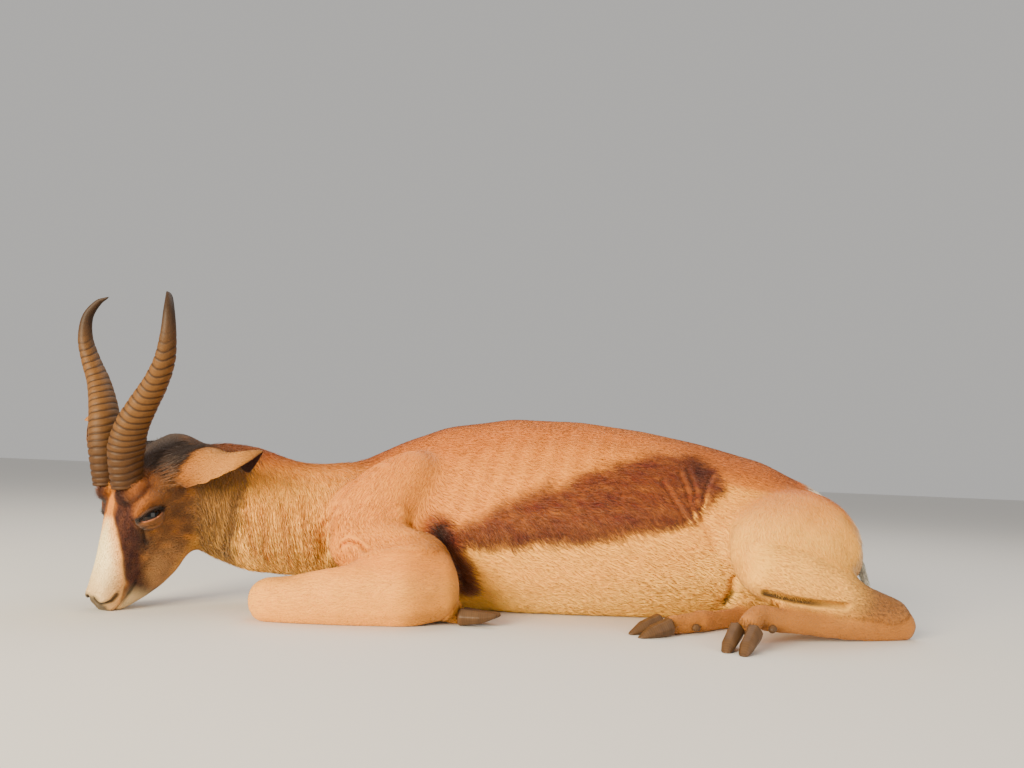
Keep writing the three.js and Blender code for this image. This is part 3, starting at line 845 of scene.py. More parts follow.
TRUNK_LIE = {"trunk": (1, 0, 0), "neck": (0.5, 0.08, -0.1)}
DROOP = {"trunk": 0.42, "neck": 1.3}  # how far the hair turns down on the sides
DROOP_FROM = (10, 60)  # degrees from the middle of the back where it starts and where it is full
TAIL_LIE = (0.25, -0.1, -1)
TAIL_LIE_ON_FLOOR = (1, -0.2, 0)
TAIL_FLOOR_REACH = 0.03
JAW_DROOP = 0.9
JAW_DROOP_FROM = (-10, -70)  # N in the head frame, mm
LIE_BLENDING_ROUNDS = 25
# The way the hair points on each limb. Parts that lie alike on both sides are given for the left one.
PAIRED_LIE = {
    "shoulder": (-0.35, -0.15, -0.9), "upper_arm": (0.6, -0.2, -0.75), "forearm": (-1, 0, -0.12),
    "front_cannon": (1, 0, 0), "front_pastern": (1, 0, 0), "thigh": (-0.1, -0.25, -0.95),
}
LIMB_LIE = {
    **{"left_" + part: way for part, way in PAIRED_LIE.items()},
    **{"right_" + part: (x, -y, z) for part, (x, y, z) in PAIRED_LIE.items()},
    "left_gaskin": (0.9, 0, -0.4), "left_hind_cannon": (-1, -0.35, 0),
    "left_hind_pastern": (-0.6, -0.6, -0.5), "right_gaskin": (0.75, -0.65, 0),
    "right_hind_cannon": (-0.9, -0.6, 0), "right_hind_pastern": (-0.9, -0.4, 0),
}


def coat_lie(surface):
    """The way the hair points at each place, along the skin."""
    points = surface.points
    lie = np.zeros_like(points)
    _, back, _ = trunk_axes(points)
    down = -back * ramp(*DROOP_FROM, np.abs(trunk_angle(points)))[:, None]
    for number, node in enumerate(FLESH):
        mine = (surface.owner == number) & (surface.ear < 0)
        if node in TRUNK_LIE:
            lie[mine] = TRUNK_LIE[node] + DROOP[node] * down[mine]
        elif node == "tail":
            lie[mine] = np.where(points[mine, 2:3] > TAIL_FLOOR_REACH, TAIL_LIE, TAIL_LIE_ON_FLOOR)
        elif node == "head":
            to_jaw = ramp(*JAW_DROOP_FROM, head_place(points[mine])[:, 1]) * JAW_DROOP
            lie[mine] = -HEAD_AXES[0] - HEAD_AXES[1] * to_jaw[:, None]
        else:
            lie[mine] = LIMB_LIE[node]
    for number, name in enumerate(EARS):
        lie[surface.ear == number] = ear_axes(name)[1]
    lie = smooth(unit(lie), surface.edges, LIE_BLENDING_ROUNDS, 0.5)
    lie -= (lie * surface.normals).sum(1)[:, None] * surface.normals
    return unit(lie)


# Markings

GAMMA = 2.2


def linear(red, green, blue):
    """A colour from its 8-bit values, in linear light."""
    return (np.array([red, green, blue]) / 255) ** GAMMA


BACK = linear(158, 80, 26)
COPPER = linear(196, 110, 36)
TAN = linear(226, 142, 46)
FAWN = linear(240, 170, 64)
CREAM = linear(250, 192, 84)
WHITE = linear(248, 240, 220)
BAND = linear(98, 34, 12)
# Painted shade for the sunken flank hollows before the thighs.
HOLLOW_SHADE = linear(48, 14, 10)
ARMPIT_RED = linear(108, 30, 5)
BLAZE = linear(252, 228, 170)
STRIPE = linear(52, 15, 3)
GOLD = linear(132, 74, 20)
CHEEK = linear(122, 80, 38)
JAW = linear(178, 132, 80)
GREY_BROWN = linear(84, 52, 24)
CROWN = linear(62, 52, 46)
DARK = linear(24, 14, 10)
LID = linear(176, 108, 84)
EAR_BACK = linear(170, 112, 46)
# Painted shade for the ears' hollow sides.
EAR_HOLLOW_SHADE = linear(64, 26, 12)
HOCK = linear(142, 92, 42)

# Edges of the flank band: degrees from the middle of the back at places along the trunk, in metres
BAND_TOP = np.array([
    [-0.13, 120], [-0.07, 115], [-0.01, 104], [0.07, 93], [0.15, 75], [0.21, 62], [0.26, 57], [0.30, 66],
])
BAND_FOOT = np.array([
    [-0.13, 122], [-0.05, 127], [0.05, 130], [0.12, 130], [0.19, 124], [0.24, 117], [0.30, 84],
])
BAND_FRONT = (-0.13, -0.07)  # where the band starts to show and where it is full, in metres
BAND_REAR = (0.300, 0.282)
FLANK_SHADE_SIZE = (0.022, 0.05, 0.030)  # of the dark hollow before the thigh, in metres
FAN_FROM = 0.08  # where the white fan on the back starts
RUMP_AT = np.array([0.478, 0.006, 0.118])
RUMP_RADIUS = 0.074
RUMP_AXIS_SHARES = (1.0, 0.95, 0.8)  # how much distances along each axis count there
RUMP_FROM = (0.38, 0.43)  # where the rump's marking starts and where it is full, in metres


def painted(colour, *coats):
    """A colour with others laid over it one after the other, each by its own share."""
    for other, share in coats:
        colour = colour + (other - colour) * np.asarray(share)[..., None]
    return colour


WAVES = 9


def patches(points, scale, seed):
    """A soft irregular value from -1 to 1 made of a few waves."""
    waves = np.random.default_rng(seed)
    value = np.zeros(len(points))
    for _ in range(WAVES):
        way = unit(waves.normal(size=3)) * 2 * math.pi / scale * waves.uniform(0.6, 1.6)
        value += np.sin(points @ way + waves.uniform(0, 2 * math.pi))
    return value / (WAVES / 2)


def band_share(points):
    """How fully the flank band covers each point. Its edges waver by a few degrees."""
    x = points[:, 0]
    angle = np.abs(trunk_angle(points)) + 3 * patches(points, 0.035, 3) + 2 * patches(points, 0.008, 4)
    top, foot = read_off(BAND_TOP, x), read_off(BAND_FOOT, x)
    along = ramp(*BAND_FRONT, x) * ramp(*BAND_REAR, x)
    return ramp(top - 5, top + 6, angle) * ramp(foot + 4, foot - 7, angle) * along


def rump_distance(points):
    """Distance from the middle of the white rump, as a share of its size."""
    return np.linalg.norm((points - RUMP_AT) * RUMP_AXIS_SHARES, axis=1) / RUMP_RADIUS


def body_colour(surface):
    """Colours of the trunk, whose borders are degrees from the middle of the back and metres along it."""
    points = surface.points
    x, _, z = points.T
    angle = np.abs(trunk_angle(points))
    foot = read_off(BAND_FOOT, x)
    fan_width = 9 * ramp(0.2, 0.46, x)
    rump, behind = rump_distance(points), ramp(*RUMP_FROM, x)
    rear_facing = ramp(0.62, 0.82, surface.normals[:, 0]) * ramp(0.40, 0.44, x)
    # Painted shade deep in the flank hollows, which are sunk into the skin.
    hollow_shades = [
        (HOLLOW_SHADE, bell(np.linalg.norm((points - place) / FLANK_SHADE_SIZE, axis=1)) * 0.75 * (angle < 120))
        for place in (FLANK_HOLLOW, opposite(FLANK_HOLLOW)[0])
    ]
    return painted(
        BACK,
        (COPPER, ramp(6, 34, angle)),
        (TAN, ramp(40, 90, angle) * 0.8),
        # The back darkens towards the rump: partly the coat's own tone, partly painted shade where the rump
        # turns from the light.
        (BACK, ramp(0.18, 0.32, x) * ramp(96, 60, angle) * 0.7),
        (FAWN, ramp(foot - 6, foot + 4, angle)),
        (CREAM, ramp(foot + 16, foot + 42, angle) * 0.8),
        (BAND, band_share(points) * (0.86 + 0.12 * patches(points, 0.02, 6))),
        *hollow_shades,
        (WHITE, ramp(FAN_FROM, FAN_FROM + 0.12, x) * ramp(3.5 + fan_width, 1 + fan_width / 2, angle) * 0.9),
        (BACK, ramp(1.45, 1.1, rump) * behind * 0.6),
        (WHITE, ramp(1.12, 0.95, rump) * behind),
        (WHITE, rear_facing * ramp(0.05, 0.08, z) * 0.9),
    )


def slit_distance(points):
    """Distance in mm from the slits of the hind leg, whose depth along Y counts little."""
    lines = (HOCK_SLIT, BELLY_CREASE)
    return np.min([near_line(points * SLIT_DEPTH_SHARE, line * SLIT_DEPTH_SHARE) for line in lines], 0) / MM


def folds_colour(points, colour):
    """Red-brown hair and painted shade in the armpit crease, and painted shade deep in the hind leg's slits."""
    for line in (ARMPIT, opposite(ARMPIT)):
        distance = near_line(points, line) / MM
        # Painted shade deep in the armpit crease, laid over red-brown hair.
        red, shade = ramp(30, 10, distance) * 0.9, ramp(14, 6, distance) * 0.85
        colour = painted(colour, (ARMPIT_RED, red), (DARK, shade))
    slit_shade = 0.95 - 0.6 * ramp(0.36, 0.42, points[:, 0])
    return painted(colour, (DARK, ramp(5.5, 2.5, slit_distance(points)) * slit_shade))


def neck_colour(points):
    """Colours of the neck, whose borders are heights in metres, with painted shade behind the cheek."""
    x, y, z = points.T
    # Painted shade behind the cheek: grey-brown over the front of the neck, stronger on the left side.
    cheek_shade = ramp(-0.342, -0.358, x + 0.15 * (0.12 - z) + 0.005 * patches(points, 0.02, 8))
    left_side = ramp(-0.06, -0.10, y)
    return painted(
        BACK,
        (TAN, ramp(0.205, 0.17, z)),
        (FAWN, ramp(0.19, 0.145, z)),
        (CREAM, ramp(0.14, 0.06, z) * 0.7),
        *((COPPER, bell(near_line(points, parting) / MM, 4) * 0.45) for parting in NECK_PARTINGS),
        (GREY_BROWN, cheek_shade * (0.3 + 0.5 * left_side)),
    )


# Edges of the white blaze and of the brown stripe beside it: half width over the face, in mm, at places
# down the face, in mm
BLAZE_EDGE = np.array([[46, 7], [54, 13], [66, 22], [84, 35], [103, 45], [120, 52], [150, 54]])
STRIPE_INNER = np.array([
    [-14, 12], [0, 13], [30, 12], [50, 12], [66, 24], [84, 37], [103, 47], [122, 55], [150, 60],
])
STRIPE_OUTER = np.array([
    [-14, 24], [0, 27], [30, 38], [51, 50], [66, 60], [78, 60], [103, 68], [122, 77], [150, 70],
])
# Of these dark lines, the mouth's is painted shade in its crease.
DARK_LINES = ((NOSTRIL, 4.0, 1.0), (MOUTH, 2.6, 0.9), (GLAND, 8.5, 0.8))  # half width in mm and share


def head_colour(points):
    """Colours of the head, whose borders are places in the head frame in mm."""
    f, n, s = head_place(points).T
    s = np.abs(s)
    around = s + 0.7 * np.clip(-n - 4, 0, None) + 1.2 * patches(points, 0.016, 5)
    mottle = patches(points * [1, 1, 0.6], 0.016, 9)
    inner, outer, edge = (read_off(table, f) for table in (STRIPE_INNER, STRIPE_OUTER, BLAZE_EDGE))
    stripe = ramp(inner - 2, inner + 4, around) * ramp(outer + 6, outer - 8, around)
    stripe *= ramp(-16, 10, f) * ramp(138, 120, f) * (0.9 + 0.1 * patches(points, 0.010, 15))
    in_blaze = ramp(edge + 3, edge - 3, around) * ramp(45, 54, f)
    forehead_strip = ramp(9, 3, s) * ramp(56, 44, f) * ramp(-18, 0, f)
    nose_tip = ramp(139, 147, f) * ramp(20, 12, s) * ramp(-50, -44, n) * ramp(-14, -22, n)
    colour = painted(
        GOLD,
        # The cheek tone is partly painted shade; the grey-brown rear of the cheek and the mottling below are
        # painted shade.
        (CHEEK, ramp(-8, -40, n)),
        (GREY_BROWN, ramp(24, -18, f) * ramp(-34, -58, n) * 0.9),
        (GREY_BROWN, np.clip(mottle, 0, 1) * ramp(-30, -50, n) * 0.6),
        (TAN, np.clip(-mottle, 0, 1) * ramp(-30, -50, n) * 0.35),
        (JAW, ramp(40, 90, f) * ramp(-46, -72, n) * 0.8),
        (FAWN, ramp(-92, -114, n) * 0.6),
        (STRIPE, stripe),
        (BLAZE, in_blaze),
        # Painted shade: tan over the blaze's outer edge and a jaw tone over its lower part near the muzzle.
        (TAN, ramp(edge - 24, edge, around) * ramp(edge + 2, edge, around) * 0.7),
        (JAW, in_blaze * ramp(90, 145, f) * 0.6),
        (TAN, forehead_strip * 0.6),
        # Dark crown behind the horns: partly brown fur and partly painted shade from the horns.
        (CROWN, ramp(-6, -24, f) * ramp(-66, -30, n) * 0.9),
        (BLAZE, ramp(114, 138, f) * ramp(-46, -60, n) * 0.6),
        (DARK, nose_tip * 0.85),
    )
    # Dark nostrils, mouth and gland; the mouth's dark line is painted shade in its crease.
    for side in SIDES.values():
        for line, width, strength in DARK_LINES:
            distance = near_line(points, head_world(line, side)) / MM
            colour = painted(colour, (DARK, bell(distance, width) * strength))
    for side in SIDES.values():
        colour = lid_colour(points, side, colour)
    return colour


def lid_colour(points, side, colour):
    """Dark lids and corners, the upper lid partly painted shade, with a pale pink rim below."""
    u, v, outside = eye_place(points, side)
    u = np.abs(u)
    corner = ramp(5.0, 1.5, np.abs(v)) * ramp(24, 17, u) * ramp(9, 14, u) * (outside < 50)
    rim = ramp(2.6, 1.4, outside) * ramp(0.1, 0.8, outside) * (v < -0.5) * ramp(15, 11, u)
    return painted(
        colour,
        # The dark upper lid is partly the lid's own colour and partly painted shade under it.
        (DARK, ramp(7.5, 2.2, outside) * np.where(v > -0.2, 0.9, 0.25)),
        (DARK, corner * 0.9),
        (LID, rim * 0.85),
    )


FAR_FROM_EYE = 99


def eye_place(points, side):
    """Places along and across an eye's opening, and the distance outside its edge. In mm."""
    offset, w, u, v = from_eye(points, side)
    near = (w > 0) & (np.linalg.norm(offset, axis=1) < 30)
    return u, v, np.where(near, beyond_opening(u, v), FAR_FROM_EYE)


def ear_colour():
    """Colours of one ear, ring by ring from its root, with painted shade in its hollow."""
    t = np.repeat(np.linspace(0, 1, EAR_RINGS), EAR_SIDES)
    inward = np.tile(np.sin(np.linspace(0, 2 * math.pi, EAR_SIDES, endpoint=False)), EAR_RINGS)
    return painted(
        EAR_BACK,
        (GOLD, ramp(0.55, 0.1, t) * 0.75),
        (GREY_BROWN, ramp(0.8, 1.0, t) * 0.6),
        # Painted shade on the hollow side of the ear.
        (EAR_HOLLOW_SHADE, ramp(0.0, 0.3, inward)),
    )


def pelage(surface):
    """The colour at each point. Borders on the limbs are places in metres."""
    points = surface.points
    body = body_colour(surface)
    x, _, z = points.T
    knee = ramp(-0.23, -0.27, x) * ramp(0.040, 0.054, z)
    elbow = ramp(-0.135, -0.09, x)
    foreleg_gold = np.maximum(0.4 * knee, 0.5 * elbow)
    looks = {
        "head": head_colour(points),
        "neck": neck_colour(points),
        "trunk": body,
        "arm": painted(body, (TAN, 0.3), (GOLD, elbow * 0.5)),
        "foreleg": painted(TAN, (FAWN, 0.6 * ramp(0.075, 0.045, z)), (GOLD, foreleg_gold)),
        "thigh": painted(
            body, (FAWN, ramp(0.19, 0.13, z) * 0.6), (COPPER, ramp(0.12, 0.185, z) * 0.7),
        ),
        "gaskin": painted(body, (FAWN, 0.6), (HOCK, ramp(0.40, 0.47, x))),
        "hind_leg": painted(TAN, (HOCK, 0.75)),
        "tail": painted(WHITE, (CROWN, ramp(0.525, 0.545, x))),
        "ear": body,
    }
    colour = sum(surface.weights[:, [i]] * looks[name] for i, name in enumerate(REGION_NAMES))
    colour = folds_colour(points, colour)
    for number in range(len(EARS)):
        colour[surface.ear == number] = ear_colour()
    mottle = 1 + 0.05 * patches(points, 0.03, 11) + 0.04 * patches(points, 0.009, 13)
    return np.clip(colour * mottle[:, None], 0, 1)


# Unwrap of the skin: the solids' own shape, laid out flat, with every skin face on the nearest one

UV_MAP = "OFBake"
UNWRAP_ANGLE = math.radians(66)  # the most by which faces of one island turn from each other
ISLAND_MARGIN = 0.002


def solids_unwrap():
    """The solids of flesh and ears as one mesh with a flat layout: its tree, triangles and their places."""
    points, triangles = together([welded(node) for node in [*FLESH, *EARS]])
    piece = add_object("layout", new_mesh("layout", points, triangles))
    piece.data.uv_layers.new(name=UV_MAP)
    bpy.ops.object.select_all(action="DESELECT")
    piece.select_set(True)
    bpy.context.view_layer.objects.active = piece
    bpy.ops.object.mode_set(mode="EDIT")
    bpy.ops.mesh.select_all(action="SELECT")
    bpy.ops.uv.smart_project(angle_limit=UNWRAP_ANGLE, island_margin=ISLAND_MARGIN)
    bpy.ops.object.mode_set(mode="OBJECT")
    flat = np.empty(triangles.size * 2, np.float32)
    piece.data.uv_layers[UV_MAP].uv.foreach_get("vector", flat)
    bpy.data.objects.remove(piece)
    return tree_of(points, triangles), points[triangles], flat.reshape(-1, 3, 2).astype(float)


def lay_flat(points, corners, flat):
    """Each point's place on the flat layout, by the plane of its own triangle."""
    first = corners[:, 1] - corners[:, 0]
    second = corners[:, 2] - corners[:, 0]
    offset = points - corners[:, 0]
    a, b, c = (first * first).sum(1), (first * second).sum(1), (second * second).sum(1)
    p, q = (offset * first).sum(1), (offset * second).sum(1)
    size = np.maximum(a * c - b * b, 1e-18)
    u, v = (c * p - b * q) / size, (a * q - b * p) / size
    return flat[:, 0] + u[:, None] * (flat[:, 1] - flat[:, 0]) + v[:, None] * (flat[:, 2] - flat[:, 0])


def put_layout(mesh, places):
    layer = mesh.uv_layers.new(name=UV_MAP)
    layer.uv.foreach_set("vector", np.clip(places, 0, 1).astype(np.float32).ravel())


def put_unwrap(mesh, layout):
    """Gives the skin its layout and returns the solids' triangle behind each loop triangle."""
    tree, corners, flat = layout
    points = points_of(mesh)
    polygons = len(mesh.polygons)
    starts, totals, loops = (np.empty(n, np.int32) for n in (polygons, polygons, len(mesh.loops)))
    mesh.polygons.foreach_get("loop_start", starts)
    mesh.polygons.foreach_get("loop_total", totals)
    mesh.loops.foreach_get("vertex_index", loops)
    centres = np.add.reduceat(points[loops], starts) / totals[:, None]
    behind = np.array([tree.find_nearest(centre)[2] for centre in centres])
    loop_behind = np.repeat(behind, totals)
    places = lay_flat(points[loops], corners[loop_behind], flat[loop_behind])
    put_layout(mesh, places)
    mesh.calc_loop_triangles()
    polygon = np.empty(len(mesh.loop_triangles), np.int32)
    mesh.loop_triangles.foreach_get("polygon_index", polygon)
    return behind[polygon]


# Materials

FUR_SHEEN = {"Sheen Weight": 0.12, "Sheen Roughness": 0.5}
WET_SHINE = {"Specular IOR Level": 0.3, "Coat Weight": 0.1, "Coat Roughness": 0.03}


def set_inputs(node, values):
    for name, value in values.items():
        node.inputs[name].default_value = value


def coloured_look(name, roughness, grain, relief, shine):
    """A material in the mesh's own colours, with a fine grain in its tone and relief."""
    material = bpy.data.materials.new(name)
    material.use_nodes = True
    nodes, links = material.node_tree.nodes, material.node_tree.links
    shader = nodes["Principled BSDF"]
    set_inputs(shader, {"Roughness": roughness, "Specular IOR Level": 0.25} | shine)
    colour = nodes.new("ShaderNodeAttribute")
    colour.attribute_name = "pelage"
    place = nodes.new("ShaderNodeTexCoord")
    noise = nodes.new("ShaderNodeTexNoise")
    set_inputs(noise, {"Scale": grain, "Detail": 4})
    light = nodes.new("ShaderNodeMapRange")
    set_inputs(light, {"To Min": 0.8, "To Max": 1.2})
    tint = nodes.new("ShaderNodeMix")
    tint.data_type = "RGBA"
    tint.blend_type = "MULTIPLY"
    set_inputs(tint, {"Factor": 1})
    bump = nodes.new("ShaderNodeBump")
    set_inputs(bump, {"Strength": 0.5, "Distance": relief})
    links.new(place.outputs["Object"], noise.inputs["Vector"])
    links.new(noise.outputs["Fac"], light.inputs["Value"])
    links.new(colour.outputs["Color"], tint.inputs["A"])
    links.new(light.outputs["Result"], tint.inputs["B"])
    links.new(tint.outputs["Result"], shader.inputs["Base Color"])
    links.new(noise.outputs["Fac"], bump.inputs["Height"])
    links.new(bump.outputs["Normal"], shader.inputs["Normal"])
    return material


def add_piece(name, mesh, colours, look, slot, *nodes):
    """Shows a mesh as a piece of the animal, and smoothly where it takes the place of solids."""
    put_colours(mesh, colours)
    mesh.materials.append(look)
    piece = add_object(name, mesh)
    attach(piece, "root")
    if nodes:
        mesh.polygons.foreach_set("use_smooth", np.ones(len(mesh.polygons), bool))
        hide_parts(*nodes)


ears = [ear_mesh(name) for name in EARS]
ear_counts = [len(mesh.vertices) for mesh in ears]
skin_mesh = join_meshes("skin", [skin_mesh, *ears])
surface = Surface(skin_mesh, ear_counts)
layout = solids_unwrap()
triangle_behind = put_unwrap(skin_mesh, layout)
short_coat_look = coloured_look("short_coat", 0.7, 700, 0.3 * MM, FUR_SHEEN)
surface.colours = pelage(surface)
add_piece("skin", skin_mesh, surface.colours, short_coat_look, "coat", *FLESH, *EARS)


# Coat: closed tapering tufts, which overlap like tiles along its lie

TUFT_PATCH = 0.0015  # half the size of a tuft's patch on the flat layout
PIECE_TRIANGLES = 180_000  # most triangles in one piece of the coat
FLOOR_GAP = 0.4 * MM
TUFT_HEIGHT = 0.4  # beside half its width
TUFT_ROOT_DEPTH = 0.3 * MM
TUFT_TAPER = 0.35  # share of its width that a tuft loses before its tip
SWIRL = 10  # degrees by which neighbouring tufts turn together
SWIRL_SIZE = 0.05
UNEVEN_TURN = 7  # degrees by which each tuft turns on its own
SHADE_SPREAD = 0.06  # how much lighter or darker single tufts are
# Tufts of each region: length, width and lift in mm, and how densely they stand beside the trunk's
COAT = {
    "head": (4.6, 0.6, 0.5, 2.8), "neck": (11, 0.95, 1.1, 1.1), "trunk": (10, 0.9, 0.8, 1.0),
    "arm": (9, 0.85, 0.75, 1.1), "foreleg": (6.5, 0.75, 0.6, 1.5), "thigh": (9, 0.85, 0.75, 1.1),
    "gaskin": (8, 0.8, 0.7, 1.3), "hind_leg": (5.5, 0.7, 0.5, 1.9), "tail": (14, 1.0, 1.6, 1.4),
    "ear": (4.5, 0.6, 0.4, 2.4),
}
MUZZLE_CHANGE = np.array([-0.45, -0.3, -0.4, 0.6])  # shares by which the same values change at the nose
MUZZLE_COAT_FROM = (70, 130)  # mm down the face
COAT_COUNT = 250_000
COAT_PIECES = {
    "head": ("head",), "ears": ("ear",), "neck": ("neck",), "trunk": ("trunk",),
    "shoulders": ("arm",), "forelegs": ("foreleg",), "thighs": ("thigh", "gaskin"),
    "hind_legs": ("hind_leg",), "tail": ("tail",),
}


def tuft_faces(rings):
    """The faces of one tuft: three points round each ring, and the tip last."""
    faces = [[2, 1, 0]]
    for ring in range(rings - 1):
        for side in range(3):
            low, next_low = 3 * ring + side, 3 * ring + (side + 1) % 3
            faces += [[low, next_low, next_low + 3], [low, next_low + 3, low + 3]]
    last = 3 * (rings - 1)
    faces += [[last + side, last + (side + 1) % 3, last + 3] for side in range(3)]
    return np.array(faces)


def tuft_spots(rings):
    """Where each point of a tuft lies in its patch on the flat layout."""
    turn = np.radians([210, 330, 90])
    ring = np.stack([np.cos(turn), np.sin(turn)], 1) * TUFT_PATCH
    return np.concatenate([*(ring * (1 - 0.4 * i) for i in range(rings)), np.zeros((1, 2))])


class Roots:
    """Places spread over the skin by a density, with what each tuft takes from its place."""

    def __init__(self, density, count):
        corners = surface.points[surface.triangles]
        normals = np.cross(corners[:, 1] - corners[:, 0], corners[:, 2] - corners[:, 0])
        total = np.cumsum(np.linalg.norm(normals, axis=1) * density[surface.triangles].mean(1))
        face = np.searchsorted(total, (np.arange(count) + random.random(count)) / count * total[-1])
        face = np.minimum(face, len(total) - 1)
        share = random.random((2, count))
        share = np.where(share.sum(0) > 1, 1 - share, share)
        self.share = np.stack([1 - share.sum(0), *share], 1)
        self.corner = surface.triangles[face]
        self.points = self.of(surface.points)
        self.normals = unit(self.of(surface.normals))
        self.lie = unit(self.of(surface.lie))
        self.colours = self.of(surface.colours)
        _, solid_corners, flat = layout
        behind = triangle_behind[face]
        self.flat_places = lay_flat(self.points, solid_corners[behind], flat[behind])

    def of(self, values):
        share = self.share if values.ndim == 1 else self.share[..., None]
        return (values[self.corner] * share).sum(1)


def laid(points, height):
    """Points moved to a height over the nearest skin, but not below the floor."""
    over = np.empty_like(points)
    for number, point in enumerate(points):
        place, normal, _, _ = surface_tree.find_nearest(point)
        over[number] = place + normal * height[number]
    over[:, 2] = np.maximum(over[:, 2], FLOOR_GAP)
    return over


def tufts(roots, length, width, lift, rings=1, swirl=SWIRL, turn=None):
    """Points of the tufts that grow from the roots. Sizes in mm, for all or one for each root."""
    count = len(roots.points)
    angle = swirl * patches(roots.points, SWIRL_SIZE, 21) + random.normal(0, UNEVEN_TURN, count)
    angle = np.radians(angle)[:, None]
    lie = roots.lie if turn is None else unit(roots.lie + turn)
    way = unit(lie * np.cos(angle) + np.cross(roots.normals, lie) * np.sin(angle))
    side = np.cross(roots.normals, way)
    length = (length * random.uniform(0.7, 1.2, count) * MM)[:, None]
    half = (width * random.uniform(0.8, 1.2, count) * MM / 2)[:, None]
    lift = lift * random.uniform(0.5, 1.3, count) * MM
    tip = laid(roots.points + way * length, lift)
    points = []
    for ring in range(rings):
        t = ring / rings
        centre = roots.points if ring == 0 else laid(roots.points + way * length * t, lift * t)
        body = half * (1 - TUFT_TAPER * t)
        foot = centre - roots.normals * (TUFT_ROOT_DEPTH if ring == 0 else 0)
        points += [foot + side * body, foot - side * body, centre + roots.normals * body * TUFT_HEIGHT]
    points = np.stack([*points, tip], 1)
    points[..., 2] = np.maximum(points[..., 2], FLOOR_GAP / 2)
    return points


def tuft_colours(roots, rings):
    """Each tuft takes the skin's colour, with painted shade at its root and painted light at its tip."""
    shade = 1 + SHADE_SPREAD * random.normal(0, 1, len(roots.points))[:, None]
    # The darker root is painted shade among the hairs, and the lighter tip is painted light.
    root_shade_tip_light = [*np.linspace(0.92, 1.0, rings).repeat(3), 1.08]
    return np.clip(np.stack([roots.colours * shade * level for level in root_shade_tip_light], 1), 0, 1)


def add_tufts(name, slot, look, points, colours, places):
    """One piece of the coat, made of many closed tufts."""
    corners = points.shape[1]
    rings = corners // 3
    faces = tuft_faces(rings)[None] + np.arange(len(points))[:, None, None] * corners
    faces = faces.reshape(-1, 3)
    mesh = new_mesh(name, points.reshape(-1, 3), faces)
    spots = (places[:, None] + tuft_spots(rings)[None]).reshape(-1, 2)[faces.ravel()]
    put_layout(mesh, spots)
    add_piece(name, mesh, colours.reshape(-1, 3), look, slot)


def add_coat(name, slot, look, roots, points, colours, chosen):
    """Splits the chosen tufts into pieces of no more than PIECE_TRIANGLES."""
    most = PIECE_TRIANGLES // len(tuft_faces(points.shape[1] // 3))
    order = chosen[np.argsort(roots.points[chosen, 0], kind="stable")]
    parts = np.array_split(order, math.ceil(len(order) / most))
    for number, part in enumerate(parts):
        piece_name = name if len(parts) == 1 else f"{name}_{number + 1}"
        add_tufts(piece_name, slot, look, points[part], colours[part], roots.flat_places[part])


def hair_growth():
    """1 where hair grows and 0 in the eyes' openings, the nostrils, the mouth and the deep slits."""
    points = surface.points
    growth = ramp(2.5, 4.5, slit_distance(points))
    for side in SIDES.values():
        _, _, outside = eye_place(points, side)
        growth *= outside >= 1.5
        for line in (NOSTRIL, MOUTH):
            growth *= ramp(1.8, 3.0, near_line(points, head_world(line, side)) / MM)
    return growth


def short_coat():
    """Short tufts all over the skin, as long and dense as each region's coat."""
    muzzle = ramp(*MUZZLE_COAT_FROM, head_place(surface.points)[:, 0]) * surface.weights[:, 0]
    values = surface.weights @ np.array([COAT[name] for name in REGION_NAMES])
    values *= 1 + MUZZLE_CHANGE * muzzle[:, None]
    roots = Roots(values[:, 3] * hair_growth(), COAT_COUNT)
    length, width, lift, _ = roots.of(values).T
    points = tufts(roots, length, width, lift)
    colours = tuft_colours(roots, 1)
    region = surface.region[roots.corner[:, 0]]
    for name, regions in COAT_PIECES.items():
        chosen = np.nonzero(within(region, *regions))[0]
        add_coat(f"coat_{name}", "coat", fur, roots, points, colours, chosen)


surface.lie = coat_lie(surface)
surface_tree = tree_of(surface.points, surface.triangles)
fur = coloured_look("fur", 0.6, 900, 0.1 * MM, FUR_SHEEN)
short_coat()


# Long hair: locks where the coat is longer than it lies flat

CORONET_REACH = 0.009
# Locks of each kind: how many, and their length, width and lift in mm
LOCKS = {
    "band_fringe": (4500, 17, 1.1, 2.0), "band_hair": (5000, 15, 1.0, 1.8), "back_fan": (4500, 34, 1.2, 3.6),
    "rump_hair": (4500, 22, 1.2, 3.0), "belly_hair": (3000, 16, 1.1, 2.0), "coronet_hair": (2400, 11, 0.9, 2.2),
    "armpit_hair": (900, 18, 1.2, 3.0), "neck_hair": (3500, 18, 1.2, 2.6), "root_hair": (1300, 32, 1.1, 5.0),
    "tail_hair": (1800, 26, 1.0, 2.6), "lashes": (260, 9, 0.45, 3.2), "horn_foot_hair": (1600, 13, 0.8, 7.0),
}


def long_hair(kind, density, word="", slot="coat", look=fur, turn=None, swirl=SWIRL):
    """Locks of one kind, named with the word before it. The turn leads them away from the coat's lie."""
    count, *sizes = LOCKS[kind]
    roots = Roots(density, count)
    points = tufts(roots, *sizes, rings=2, swirl=swirl, turn=turn)
    name = f"{word}_{kind}" if word else kind
    add_coat(name, slot, look, roots, points, tuft_colours(roots, 2), np.arange(count))


def ring_round(place, radius, width):
    """1 on a ring at the given distance from a place, in mm."""
    return bell(np.linalg.norm(surface.points - place, axis=1) / MM - radius, width)


def at_coronets():
    """1 where the feet are near a claw."""
    feet = np.nonzero(within(surface.region, "foreleg", "hind_leg"))[0]
    tree = tree_of(*together([welded(node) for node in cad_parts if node.endswith("_claw")]))
    near = np.zeros(len(surface.points))
    near[feet] = [tree.find_nearest(point)[3] < CORONET_REACH for point in surface.points[feet]]
    return near


